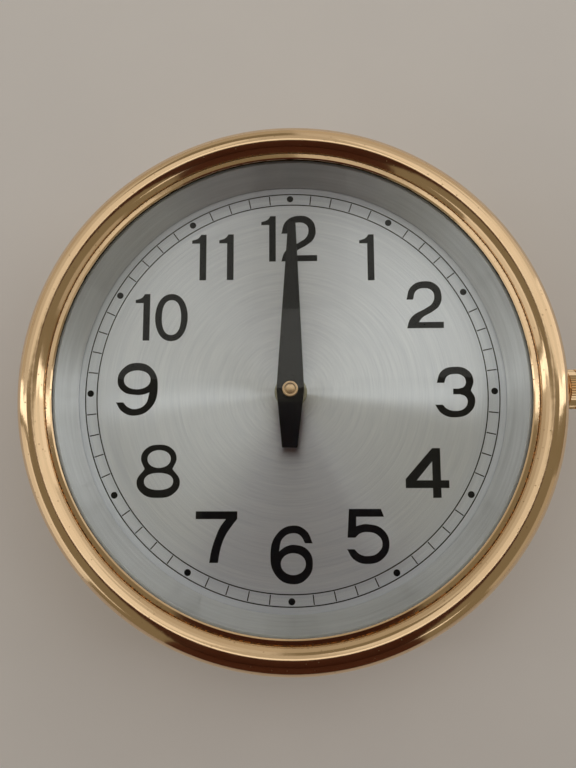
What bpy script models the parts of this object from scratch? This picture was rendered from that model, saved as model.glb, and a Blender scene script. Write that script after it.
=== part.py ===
"""A round brass slave clock, lying face up as it is modelled.

Frame: metres, +Z out of the dial, +Y towards 12 o'clock, +X towards 3 o'clock.
The origin is the middle of the flat back face, and the back rests on z = 0.
Heights called "rise" are measured from the front of the dial.
"""
import math

import bmesh
import bpy
from mathutils import Matrix, Vector

for old in list(bpy.data.objects):
    bpy.data.objects.remove(old, do_unlink=True)

MM = 0.001
GAP = 0.3 * MM                      # between pieces that touch
ROUND_SIDES = 44                    # sides of the large turned pieces
SMALL_SIDES = 14                    # sides of the small turned pieces
TINY_SIDES = 8                      # sides of screws and pins

# Case: a drum with a mounting flange round its back
DIAL_HEIGHT = 46.0 * MM             # dial front above the back face
CASE_GAP = 1.5 * MM                 # running gap between the drum and the bezel skirt
CASE_WALL = 1.6 * MM
CASE_FLOOR = 2.0 * MM
CASE_RIM_RISE = 9.0 * MM
CASE_FILLET = 2.0 * MM
FLANGE_WIDTH = 12.7 * MM
FLANGE_EDGE = 0.8 * MM
FLANGE_HOLE_RADIUS = 2.75 * MM
FLANGE_HOLES = 3
CABLE_HEIGHT = 22.0 * MM
CABLE_HOLE_RADIUS = 7.0 * MM
GROMMET_FLANGE = 2.3 * MM
GROMMET_BORE_RADIUS = 4.0 * MM
GROMMET_LIP = 1.5 * MM
RIM_GASKET_HEIGHT = 1.1 * MM
RIM_GASKET_WIDTH = 2.0 * MM

# Bezel: a half-round bead, a narrow lip over the glass and a straight skirt
BEZEL_RADIUS = 120.0 * MM
BEAD_RADIUS = 6.8 * MM
BEAD_RISE = 18.0 * MM               # middle of the bead
BEAD_STEPS = 10
BEZEL_WIDTH = 15.6 * MM             # from its outer edge in to the sight edge
LIP_RISE = 21.3 * MM
LIP_THICKNESS = 1.0 * MM
LIP_FALL = 0.2 * MM                 # from the sight edge out to the crease
LIP_EDGE = 0.5 * MM
SKIRT_INSET = 1.4 * MM
SKIRT_WALL = 1.8 * MM
SKIRT_RISE = 1.0 * MM               # its lower edge, level with the hinge pin
SKIRT_EDGE = 0.4 * MM
POCKET_INSET = 3.4 * MM             # width of the shelf that closes on the rim gasket

# Glass and what holds it
GLASS_OVERLAP = 4.6 * MM            # how far it reaches under the lip
GLASS_THICKNESS = 2.0 * MM
GLASS_GASKET_WIDTH = 2.6 * MM
GLASS_GASKET_THICKNESS = 0.8 * MM
CLAMP_WIDTH = 6.6 * MM
CLAMP_THICKNESS = 1.8 * MM
CLAMP_SCREWS = 3

# Dial and the flared ring on it
RING_MARGIN = 0.5 * MM              # the ring's top edge to the bezel's sight edge
DIAL_THICKNESS = 1.2 * MM
DIAL_EDGE_GAP = 1.4 * MM            # dial edge to drum wall
RING_FLARE = 4.0 * MM               # how far the ring leans out up to its top
RING_RISE = 17.4 * MM
RING_WALL = 1.4 * MM
RING_FOOT = 1.5 * MM
DIAL_PILLARS = 4
DIAL_PILLAR_RADIUS = 3.5 * MM

# Movement: two plates on four pillars, hung from the dial by a ring nut
PLATE_HALF_WIDTH = 27.0 * MM
PLATE_TOP_Y = 25.0 * MM
PLATE_BOTTOM_Y = -58.0 * MM
PLATE_CORNER = 5.0 * MM
PLATE_THICKNESS = 1.5 * MM
PLATE_INSET = 4.5 * MM              # pillar centre from the plate's edges
MOVEMENT_DEPTH = 29.0 * MM          # between the plates
PILLAR_RADIUS = 3.0 * MM
BUSH_BORE_RADIUS = 3.8 * MM
BUSH_RADIUS = 5.2 * MM
BUSH_RISE = 4.0 * MM
NUT_RADIUS = 7.6 * MM
NUT_THICKNESS = 2.0 * MM
NUT_EDGE = 0.5 * MM
PILLAR_PIN_RADIUS = 1.4 * MM

# Arbors, pipes and gears
ARBOR_RADIUS = 1.2 * MM
PIVOT_RADIUS = 0.8 * MM
STEP_ARBOR_RADIUS = 1.0 * MM
CENTRE_HUB_RADIUS = 3.0 * MM
PIPE_WALL = 0.7 * MM
HOUR_PIPE_WALL = 0.8 * MM
RUNNING_GAP = 0.8 * MM              # beside a piece that turns
LAYER_GAP = 1.2 * MM                # between one layer of gears and the next
GEAR_THICKNESS = 1.2 * MM
MOTION_MODULE = 0.72 * MM           # cannon pinion and minute wheel
DRIVE_MODULE = 0.8 * MM             # centre wheel and its pinion
ROTOR_MODULE = 0.65 * MM            # intermediate wheel and the rotor's pinion
CANNON_TEETH = 10
MINUTE_TEETH = 30
MINUTE_PINION_TEETH = 8
HOUR_TEETH = 32
CENTRE_TEETH = 36
DRIVE_PINION_TEETH = 6
STEP_TEETH = 30
ROTOR_PINION_TEETH = 6
ADDENDUM = 0.7                      # in modules
DEDENDUM = 1.05
TIP_SHARE = 0.07                    # half widths of a tooth, in tooth pitches
ROOT_SHARE = 0.22
MINUTE_STUD_ANGLE = math.radians(60.0)
STUD_RADIUS = 1.3 * MM
STEP_ARBOR_X = -8.0 * MM

# Stepping motor
ROTOR_RADIUS = 7.0 * MM
ROTOR_LENGTH = 7.5 * MM
ROTOR_AIR_GAP = 0.8 * MM
STATOR_RING_WALL = 2.6 * MM
STATOR_THICKNESS = 4.0 * MM
STATOR_BAR_HALF = 6.0 * MM
STATOR_LEG_WIDTH = 6.0 * MM
COIL_LENGTH = 32.0 * MM
COIL_FLANGE_HALF_Y = 9.0 * MM
COIL_FLANGE_HALF_Z = 8.0 * MM
COIL_FLANGE = 1.2 * MM
COIL_WALL = 1.0 * MM
COIL_MARGIN = 1.4 * MM              # flange standing proud of the winding
STATOR_PIN_RADIUS = 1.4 * MM
STATOR_BOSS_RADIUS = 2.6 * MM

# Terminals
TERMINAL_LENGTH = 30.0 * MM
TERMINAL_DEPTH = 13.0 * MM
TERMINAL_HEIGHT = 10.0 * MM
TERMINAL_Y = -80.0 * MM
TERMINAL_SCREWS = 2
TERMINAL_PITCH = 14.0 * MM
BARRIER_HEIGHT = 3.0 * MM
BARRIER_THICKNESS = 2.0 * MM

# Hands
MINUTE_LENGTH = 77.7 * MM
MINUTE_TAIL = 26.1 * MM
MINUTE_HUB_WIDTH = 11.5 * MM
MINUTE_TIP_WIDTH = 3.4 * MM
MINUTE_TAIL_WIDTH = 6.8 * MM
MINUTE_LEAN = math.radians(-0.75)   # a few seconds past the hour
MINUTE_RISE = 13.0 * MM             # underside
HOUR_LENGTH = 52.0 * MM
HOUR_TAIL = 12.0 * MM
HOUR_HUB_WIDTH = 10.0 * MM
HOUR_TIP_WIDTH = 4.6 * MM
HOUR_TAIL_WIDTH = 8.4 * MM
HOUR_RISE = 9.0 * MM
HAND_THICKNESS = 1.0 * MM
COLLET_WALL = 1.8 * MM
COLLET_HEIGHT = 2.0 * MM
CAP_RADIUS = 3.45 * MM
CAP_HEIGHT = 1.9 * MM
CAP_EDGE = 0.3 * MM
CAP_ROOF = 0.8 * MM
CAP_GROOVE_RADIUS = 1.95 * MM
CAP_GROOVE_WIDTH = 0.45 * MM
CAP_GROOVE_DEPTH = 0.4 * MM

# Bezel hinge at 9 o'clock
KNUCKLE_RADIUS = 3.0 * MM
KNUCKLE_CLEARANCE = 0.4 * MM        # from the knuckle to the skirt
HINGE_PIN_RADIUS = 1.5 * MM
PIN_HEAD_RADIUS = 2.4 * MM
PIN_HEAD_HEIGHT = 1.2 * MM
HINGE_HALF_LENGTH = 17.0 * MM
BEZEL_KNUCKLE_HALF = 6.0 * MM
LEAF_THICKNESS = 2.3 * MM
CASE_LEAF_DROP = 16.0 * MM          # below the hinge pin
BEZEL_LEAF_TOP = 12.0 * MM          # above the hinge pin
HINGE_SCREW_SPREAD = 10.0 * MM

# Thumbscrew at 3 o'clock
SCREW_RISE = 6.0 * MM
SCREW_RADIUS = 2.5 * MM
SCREW_TIP_RADIUS = 2.0 * MM
SCREW_TIP_LENGTH = 0.8 * MM
BOSS_RADIUS = 5.5 * MM
BOSS_LENGTH = 2.8 * MM
WASHER_RADIUS = 6.5 * MM
WASHER_THICKNESS = 0.8 * MM
KNOB_RADIUS = 9.0 * MM
KNOB_LENGTH = 12.0 * MM
KNOB_FIRST_BAND = 4.3 * MM           # from the knob's face to its groove
KNOB_GROOVE = 0.8 * MM
KNOB_EDGE = 0.6 * MM
KNURL_DEPTH = 0.5 * MM
KNURL_TEETH = 24

# Screws
SCREW_M3_RADIUS = 1.5 * MM
SCREW_M3_HEAD_RADIUS = 2.7 * MM
SCREW_HEAD_HEIGHT = 1.8 * MM
SCREW_M2_RADIUS = 1.0 * MM
SCREW_M2_HEAD_RADIUS = 2.0 * MM
SCREW_M2_HEAD_HEIGHT = 1.2 * MM
SCREW_BITE = 5.0 * MM               # length of thread in what it fastens

# Places and sizes that follow from those above
skirt_outer = BEZEL_RADIUS - SKIRT_INSET
skirt_inner = skirt_outer - SKIRT_WALL
case_outer = skirt_inner - CASE_GAP
case_inner = case_outer - CASE_WALL
case_rim = DIAL_HEIGHT + CASE_RIM_RISE
lip_radius = BEZEL_RADIUS - BEZEL_WIDTH
sight_radius = lip_radius - RING_MARGIN - RING_FLARE
flange_radius = case_outer + FLANGE_WIDTH
bezel_shelf = case_rim + GAP + RIM_GASKET_HEIGHT + GAP
bead_middle = Vector((BEZEL_RADIUS - BEAD_RADIUS, DIAL_HEIGHT + BEAD_RISE))
lip_top = DIAL_HEIGHT + LIP_RISE
lip_under = lip_top - LIP_THICKNESS
glass_radius = lip_radius + GLASS_OVERLAP
glass_top = lip_under - GAP
glass_gasket_top = glass_top - GLASS_THICKNESS - GAP
clamp_top = glass_gasket_top - GLASS_GASKET_THICKNESS - GAP
clamp_inner = glass_radius - GLASS_GASKET_WIDTH
clamp_outer = clamp_inner + CLAMP_WIDTH
pocket_radius = skirt_inner - POCKET_INSET
hinge_height = DIAL_HEIGHT + SKIRT_RISE
hinge_x = -(skirt_outer + KNUCKLE_RADIUS + KNUCKLE_CLEARANCE)
dial_radius = case_inner - DIAL_EDGE_GAP
dial_back = DIAL_HEIGHT - DIAL_THICKNESS
dial_screw_circle = dial_radius - DIAL_PILLAR_RADIUS
front_plate_top = dial_back - GAP
front_plate_under = front_plate_top - PLATE_THICKNESS
back_plate_top = front_plate_under - MOVEMENT_DEPTH
back_plate_under = back_plate_top - PLATE_THICKNESS
pipe_inner = ARBOR_RADIUS + GAP
pipe_outer = pipe_inner + PIPE_WALL
hour_pipe_inner = pipe_outer + GAP
hour_pipe_outer = hour_pipe_inner + HOUR_PIPE_WALL

# Layers of the train, each measured down from the plate in front of it
hour_gear_top = front_plate_under - RUNNING_GAP
hour_gear_under = hour_gear_top - GEAR_THICKNESS
minute_gear_top = hour_gear_under - LAYER_GAP
minute_gear_under = minute_gear_top - GEAR_THICKNESS
cannon_foot = minute_gear_under - RUNNING_GAP
centre_gear_top = cannon_foot - LAYER_GAP
centre_gear_under = centre_gear_top - GEAR_THICKNESS
step_gear_top = centre_gear_under - 2 * LAYER_GAP
step_gear_under = step_gear_top - GEAR_THICKNESS
rotor_top = step_gear_under - 2 * LAYER_GAP
rotor_under = rotor_top - ROTOR_LENGTH
stator_top = (rotor_top + rotor_under + STATOR_THICKNESS) / 2
stator_under = stator_top - STATOR_THICKNESS
front_pivot = front_plate_top - GAP
back_pivot = back_plate_under + GAP
minute_hand_top = DIAL_HEIGHT + MINUTE_RISE + HAND_THICKNESS
cap_top = minute_hand_top + GAP + CAP_HEIGHT
cap_roof_under = cap_top - CAP_ROOF
spindle_end = cap_roof_under - GAP

# Gear centres
motion_distance = (CANNON_TEETH + MINUTE_TEETH) * MOTION_MODULE / 2
hour_module = 2 * motion_distance / (MINUTE_PINION_TEETH + HOUR_TEETH)
stud_place = Vector((motion_distance * math.cos(MINUTE_STUD_ANGLE),
                     motion_distance * math.sin(MINUTE_STUD_ANGLE), 0.0))
drive_distance = (CENTRE_TEETH + DRIVE_PINION_TEETH) * DRIVE_MODULE / 2
step_place = Vector((STEP_ARBOR_X, -math.sqrt(drive_distance ** 2 - STEP_ARBOR_X ** 2), 0.0))
rotor_distance = (STEP_TEETH + ROTOR_PINION_TEETH) * ROTOR_MODULE / 2
rotor_place = Vector((0.0, step_place.y - math.sqrt(rotor_distance ** 2 - STEP_ARBOR_X ** 2),
                      0.0))

# Motor, measured from the rotor
stator_ring = ROTOR_RADIUS + ROTOR_AIR_GAP + STATOR_RING_WALL
coil_y = rotor_place.y - stator_ring - RUNNING_GAP - COIL_FLANGE_HALF_Y
leg_inner = COIL_LENGTH / 2 + RUNNING_GAP
leg_outer = leg_inner + STATOR_LEG_WIDTH
leg_middle = (leg_inner + leg_outer) / 2

brass = ("brass", (0.62, 0.45, 0.20), 0.22, 1.0)
polished_brass = ("polished_brass", (0.74, 0.55, 0.29), 0.10, 1.0)
satin_aluminium = ("satin_aluminium", (0.60, 0.61, 0.62), 0.38, 1.0)
steel = ("steel", (0.52, 0.53, 0.55), 0.30, 1.0)
clear_glass = ("clear_glass", (0.90, 0.94, 0.93), 0.02, 0.0)
black_paint = ("black_paint", (0.035, 0.036, 0.040), 0.42, 0.0)
rubber = ("rubber", (0.03, 0.03, 0.03), 0.75, 0.0)
moulding = ("black_moulding", (0.05, 0.05, 0.055), 0.5, 0.0)
nylon = ("white_nylon", (0.78, 0.76, 0.70), 0.5, 0.0)
magnet = ("magnet", (0.12, 0.12, 0.13), 0.45, 0.6)
copper = ("copper_winding", (0.45, 0.16, 0.07), 0.35, 1.0)

clock_parts = bpy.data.collections.new("slave_clock")
clock_tools = bpy.data.collections.new("cutters")
for group in (clock_parts, clock_tools):
    bpy.context.scene.collection.children.link(group)


def material(finish):
    """The Principled material of one finish: its name, colour, roughness and metallic value."""
    name, colour, roughness, metallic = finish
    found = bpy.data.materials.get(name)
    if found:
        return found
    made = bpy.data.materials.new(name)
    made.use_nodes = True
    shader = made.node_tree.nodes["Principled BSDF"]
    shader.inputs["Base Color"].default_value = (*colour, 1.0)
    shader.inputs["Roughness"].default_value = roughness
    shader.inputs["Metallic"].default_value = metallic
    made.diffuse_color = (*colour, 1.0)
    return made


def add(name, form, finish):
    """Link a bmesh as a new object: a part with a finish, or a cutting tool without one."""
    mesh = bpy.data.meshes.new(name)
    form.to_mesh(mesh)
    form.free()
    piece = bpy.data.objects.new(name, mesh)
    if finish:
        mesh.materials.append(material(finish))
        clock_parts.objects.link(piece)
    else:
        clock_tools.objects.link(piece)
        piece.hide_render = True
        piece.display_type = "WIRE"
    return piece


def turned(name, profile, steps, finish=None, closed=False):
    """Turn (radius, height) points about Z. They run down the outer side, top to bottom."""
    form = bmesh.new()
    points = [form.verts.new((radius, 0.0, height)) for radius, height in profile]
    for first, second in zip(points, points[1:]):
        form.edges.new((first, second))
    if closed:
        form.edges.new((points[-1], points[0]))
    piece = add(name, form, finish)
    turn = piece.modifiers.new("turn", "SCREW")
    turn.angle = math.tau
    turn.steps = steps
    turn.render_steps = steps
    turn.use_merge_vertices = True
    turn.merge_threshold = 0.00001
    return piece


def ring(name, inner, outer, bottom, top, steps, finish=None):
    """A plain turned ring between two radii and two heights."""
    profile = [(inner, top), (outer, top), (outer, bottom), (inner, bottom)]
    return turned(name, profile, steps, finish, closed=True)


def block(name, low, high, finish=None, corner=0.0):
    """A block between two corners, its upright edges rounded by corner."""
    form = bmesh.new()
    bmesh.ops.create_cube(form, size=1.0)
    low, high = Vector(low), Vector(high)
    bmesh.ops.scale(form, vec=high - low, verts=form.verts)
    bmesh.ops.translate(form, vec=(low + high) / 2, verts=form.verts)
    if corner:
        upright = [edge for edge in form.edges
                   if abs(edge.verts[0].co.z - edge.verts[1].co.z) > 1e-6]
        bmesh.ops.bevel(form, geom=upright, offset=corner, offset_type="OFFSET", segments=3,
                        profile=0.5, affect="EDGES", material=-1)
    return add(name, form, finish)


def rod(name, radius, start, end, sides=SMALL_SIDES, finish=None):
    """A cylinder from one point to another."""
    start, end = Vector(start), Vector(end)
    way = end - start
    form = bmesh.new()
    bmesh.ops.create_cone(form, cap_ends=True, segments=sides, radius1=radius, radius2=radius,
                          depth=way.length)
    turn = way.to_track_quat("Z", "Y").to_matrix().to_4x4()
    bmesh.ops.transform(form, matrix=Matrix.Translation((start + end) / 2) @ turn,
                        verts=form.verts)
    return add(name, form, finish)


def combine(piece, tool, operation):
    """Cut a tool out of a piece, or join it on."""
    step = piece.modifiers.new(tool.name, "BOOLEAN")
    step.operation = operation
    step.object = tool
    step.solver = "EXACT"
    return piece


def cut(piece, *tools):
    for tool in tools:
        combine(piece, tool, "DIFFERENCE")
    return piece


def join(piece, *tools):
    for tool in tools:
        combine(piece, tool, "UNION")
    return piece


def flat(name, outlines, bottom, top, finish=None):
    """A flat piece: closed outlines filled as a 2D curve and given their thickness."""
    curve = bpy.data.curves.new(name, "CURVE")
    curve.dimensions = "2D"
    curve.fill_mode = "BOTH"
    curve.extrude = (top - bottom) / 2
    for outline in outlines:
        spline = curve.splines.new("POLY")
        spline.points.add(len(outline) - 1)
        for point, (x, y) in zip(spline.points, outline):
            point.co = (x, y, 0.0, 1.0)
        spline.use_cyclic_u = True
    guide = bpy.data.objects.new(name + "_outline", curve)
    bpy.context.scene.collection.objects.link(guide)
    shape = bpy.data.meshes.new_from_object(
        guide.evaluated_get(bpy.context.evaluated_depsgraph_get()))
    form = bmesh.new()
    form.from_mesh(shape)
    bmesh.ops.remove_doubles(form, verts=form.verts, dist=0.000001)
    bmesh.ops.translate(form, vec=(0.0, 0.0, (bottom + top) / 2), verts=form.verts)
    bmesh.ops.recalc_face_normals(form, faces=form.faces)
    bpy.data.objects.remove(guide, do_unlink=True)
    bpy.data.meshes.remove(shape)
    return add(name, form, finish)


def circle_points(radius, count):
    turn = math.tau / count
    return [(radius * math.cos(step * turn), radius * math.sin(step * turn))
            for step in range(count)]


def gear_points(teeth, module, tooth_angle):
    """Outline of a gear whose teeth taper from root to tip, with one tooth at tooth_angle."""
    pitch = math.tau / teeth
    root = teeth * module / 2 - DEDENDUM * module
    tip = teeth * module / 2 + ADDENDUM * module
    corners = ((root, -ROOT_SHARE), (tip, -TIP_SHARE), (tip, TIP_SHARE), (root, ROOT_SHARE))
    points = []
    for tooth in range(teeth):
        for radius, share in corners:
            angle = tooth_angle + (tooth + share) * pitch
            points.append((radius * math.cos(angle), radius * math.sin(angle)))
    return points


def polar(radius, angle, height=0.0):
    return Vector((radius * math.cos(angle), radius * math.sin(angle), height))


def arc(middle, radius, start, end, steps):
    """Points along an arc of a profile, both ends included."""
    points = []
    for step in range(steps + 1):
        angle = start + (end - start) * step / steps
        points.append((middle[0] + radius * math.cos(angle),
                       middle[1] + radius * math.sin(angle)))
    return points


def screw(name, place, radius, head_radius, head_height, length, finish, way="up"):
    """A cheese-head screw at place, the underside of its head, with its head up or down."""
    profile = [(0.0, head_height), (head_radius * 0.9, head_height),
               (head_radius, head_height * 0.8), (head_radius, 0.0),
               (radius, 0.0), (radius, -length), (0.0, -length)]
    piece = turned(name, profile, TINY_SIDES, finish)
    piece.location = place
    if way == "down":
        piece.rotation_euler = (math.pi, 0.0, 0.0)
    return piece


def make_case():
    """The brass drum with its flange, the cable grommet and the gasket on the rim."""
    fillet_middle = (case_outer + CASE_FILLET, CASE_FLOOR + CASE_FILLET)
    inner_fillet_middle = (case_inner - CASE_FILLET, CASE_FLOOR + CASE_FILLET)
    profile = [(0.0, CASE_FLOOR)]
    profile += arc(inner_fillet_middle, CASE_FILLET, -math.pi / 2, 0.0, 2)
    profile += [(case_inner, case_rim), (case_outer, case_rim)]
    profile += arc(fillet_middle, CASE_FILLET, math.pi, math.pi * 1.5, 3)
    profile += [(flange_radius - FLANGE_EDGE, CASE_FLOOR),
                (flange_radius, CASE_FLOOR - FLANGE_EDGE), (flange_radius, 0.0), (0.0, 0.0)]
    case = turned("case_drum", profile, ROUND_SIDES, brass)
    hole_circle = (case_outer + CASE_FILLET + flange_radius) / 2
    for hole in range(FLANGE_HOLES):
        angle = math.pi / 2 + hole * math.tau / FLANGE_HOLES
        cut(case, rod(f"flange_hole_{hole + 1}", FLANGE_HOLE_RADIUS,
                      polar(hole_circle, angle, -CASE_FLOOR),
                      polar(hole_circle, angle, 2 * CASE_FLOOR)))
    cut(case, rod("cable_hole", CABLE_HOLE_RADIUS,
                  (0.0, -case_inner + 3 * CASE_WALL, CABLE_HEIGHT),
                  (0.0, -case_outer - 3 * CASE_WALL, CABLE_HEIGHT)))

    neck = CABLE_HOLE_RADIUS - GAP
    lip = neck + GROMMET_FLANGE
    inner_face = math.sqrt(case_inner ** 2 - lip ** 2) * math.cos(math.pi / ROUND_SIDES) - GAP
    outer_face = case_outer + GAP
    grommet = turned("cable_grommet", [
        (GROMMET_BORE_RADIUS, outer_face + GROMMET_LIP), (lip, outer_face + GROMMET_LIP),
        (lip, outer_face), (neck, outer_face), (neck, inner_face), (lip, inner_face),
        (lip, inner_face - GROMMET_LIP), (GROMMET_BORE_RADIUS, inner_face - GROMMET_LIP),
    ], SMALL_SIDES, rubber, closed=True)
    grommet.location = (0.0, 0.0, CABLE_HEIGHT)
    grommet.rotation_euler = (math.pi / 2, 0.0, 0.0)

    ring("rim_gasket", case_inner, case_inner + RIM_GASKET_WIDTH, case_rim + GAP,
         case_rim + GAP + RIM_GASKET_HEIGHT, ROUND_SIDES, rubber)
    return case


def make_dial():
    """The dial plate, the flared ring on it, and the pillars and screws that hold both."""
    dial_bore = BUSH_RADIUS + GAP
    dial = ring("dial_plate", dial_bore, dial_radius, dial_back, DIAL_HEIGHT, ROUND_SIDES,
                satin_aluminium)
    ring_foot = DIAL_HEIGHT + GAP
    ring_top = DIAL_HEIGHT + RING_RISE
    reflector = turned("dial_ring", [
        (sight_radius + RING_FLARE, ring_top),
        (sight_radius + RING_FLARE + RING_WALL, ring_top),
        (sight_radius + RING_WALL, ring_foot + RING_FOOT),
        (dial_radius, ring_foot + RING_FOOT), (dial_radius, ring_foot),
        (sight_radius, ring_foot),
    ], ROUND_SIDES, satin_aluminium, closed=True)

    hole = SCREW_M3_RADIUS + GAP
    head_seat = ring_foot + RING_FOOT + GAP
    pillar_top = dial_back - GAP
    screw_reach = head_seat - pillar_top + SCREW_BITE
    for number in range(DIAL_PILLARS):
        angle = math.pi / 4 + number * math.tau / DIAL_PILLARS
        place = polar(dial_screw_circle, angle)
        drill = rod(f"dial_hole_{number + 1}", hole,
                    place + Vector((0.0, 0.0, dial_back - DIAL_THICKNESS)),
                    place + Vector((0.0, 0.0, head_seat + RING_FOOT)), TINY_SIDES)
        cut(dial, drill)
        cut(reflector, drill)
        bore_floor = pillar_top - SCREW_BITE - 2 * GAP
        pillar = turned(f"dial_pillar_{number + 1}", [
            (0.0, bore_floor), (hole, bore_floor), (hole, pillar_top),
            (DIAL_PILLAR_RADIUS, pillar_top), (DIAL_PILLAR_RADIUS, CASE_FLOOR + GAP),
            (0.0, CASE_FLOOR + GAP)], TINY_SIDES, brass)
        pillar.location = place
        screw(f"dial_screw_{number + 1}", place + Vector((0.0, 0.0, head_seat)),
              SCREW_M3_RADIUS, SCREW_M3_HEAD_RADIUS, SCREW_HEAD_HEIGHT, screw_reach, steel)


def make_bezel():
    """The polished ring, the glass with its gasket and clamping ring, and their screws."""
    crease_height = lip_top - LIP_FALL
    crease_angle = math.pi - math.asin((crease_height - bead_middle.y) / BEAD_RADIUS)
    skirt_angle = -math.acos((skirt_outer - bead_middle.x) / BEAD_RADIUS)
    skirt_bottom = DIAL_HEIGHT + SKIRT_RISE
    rabbet = glass_radius + GAP
    profile = [(lip_radius, lip_top - LIP_EDGE), (lip_radius + LIP_EDGE, lip_top)]
    profile += arc(bead_middle, BEAD_RADIUS, crease_angle, skirt_angle, BEAD_STEPS)
    profile += [(skirt_outer, skirt_bottom + SKIRT_EDGE),
                (skirt_outer - SKIRT_EDGE, skirt_bottom), (skirt_inner, skirt_bottom),
                (skirt_inner, bezel_shelf), (pocket_radius, bezel_shelf),
                (pocket_radius, clamp_top + GAP), (rabbet, clamp_top + GAP),
                (rabbet, lip_under), (lip_radius, lip_under)]
    bezel = turned("bezel_ring", profile, ROUND_SIDES, polished_brass, closed=True)

    turned("glass", [(0.0, glass_top), (glass_radius, glass_top),
                     (glass_radius, glass_top - GLASS_THICKNESS),
                     (0.0, glass_top - GLASS_THICKNESS)], ROUND_SIDES, clear_glass)
    ring("glass_gasket", clamp_inner, glass_radius, glass_gasket_top - GLASS_GASKET_THICKNESS,
         glass_gasket_top, ROUND_SIDES, rubber)
    clamp_under = clamp_top - CLAMP_THICKNESS
    clamp = ring("glass_clamp_ring", clamp_inner, clamp_outer, clamp_under, clamp_top, ROUND_SIDES,
                 brass)
    hole = SCREW_M2_RADIUS + GAP
    circle = clamp_outer - SCREW_M2_HEAD_RADIUS - GAP / 2
    for number in range(CLAMP_SCREWS):
        angle = math.pi / 6 + number * math.tau / CLAMP_SCREWS
        drill = rod(f"clamp_hole_{number + 1}", hole,
                    polar(circle, angle, clamp_under - CLAMP_THICKNESS),
                    polar(circle, angle, clamp_top + SCREW_BITE), TINY_SIDES)
        cut(clamp, drill)
        cut(bezel, drill)
        screw(f"clamp_screw_{number + 1}", polar(circle, angle, clamp_under - GAP),
              SCREW_M2_RADIUS, SCREW_M2_HEAD_RADIUS, SCREW_M2_HEAD_HEIGHT,
              CLAMP_THICKNESS + SCREW_BITE - GAP, steel, way="down")
    return bezel


def make_thumbscrew(bezel):
    """The knurled thumbscrew at 3 o'clock, its washer, and the boss that it turns in."""
    height = DIAL_HEIGHT + SCREW_RISE
    boss_face = skirt_outer + BOSS_LENGTH
    join(bezel, rod("screw_boss", BOSS_RADIUS, (skirt_outer - SKIRT_WALL / 2, 0.0, height),
                    (boss_face, 0.0, height)))
    cut(bezel, rod("screw_bore", SCREW_RADIUS + GAP, (case_outer, 0.0, height),
                   (boss_face + BOSS_LENGTH, 0.0, height)))

    washer_start = boss_face + GAP
    washer_end = washer_start + WASHER_THICKNESS
    washer = ring("thumb_washer", SCREW_RADIUS + GAP, WASHER_RADIUS, washer_start, washer_end,
                  SMALL_SIDES, polished_brass)
    knob_start = washer_end + GAP
    knob_end = knob_start + KNOB_LENGTH
    groove_start = knob_start + KNOB_FIRST_BAND
    groove_end = groove_start + KNOB_GROOVE
    core = KNOB_RADIUS - 2 * KNURL_DEPTH
    tip = case_outer + GAP
    thumb = turned("thumb_screw", [
        (0.0, knob_end), (core - KNOB_EDGE, knob_end), (core, knob_end - KNOB_EDGE),
        (core, knob_start + KNOB_EDGE), (core - KNOB_EDGE, knob_start),
        (SCREW_RADIUS, knob_start), (SCREW_RADIUS, tip + SCREW_TIP_LENGTH),
        (SCREW_TIP_RADIUS, tip + SCREW_TIP_LENGTH), (SCREW_TIP_RADIUS, tip), (0.0, tip),
    ], SMALL_SIDES, polished_brass)
    knurl = []
    for number, radius in enumerate([KNOB_RADIUS, KNOB_RADIUS - KNURL_DEPTH] * KNURL_TEETH):
        angle = number * math.pi / KNURL_TEETH
        knurl.append((radius * math.cos(angle), radius * math.sin(angle)))
    for number, (start, end) in enumerate([(knob_start + KNOB_EDGE, groove_start),
                                           (groove_end, knob_end - KNOB_EDGE)]):
        band = flat(f"knurl_{number + 1}", [knurl], start, end)
        band.location = (0.0, 0.0, height)
        band.rotation_euler = (0.0, math.pi / 2, 0.0)
        join(thumb, band)
    for piece in (washer, thumb):
        piece.location = (0.0, 0.0, height)
        piece.rotation_euler = (0.0, math.pi / 2, 0.0)


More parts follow.
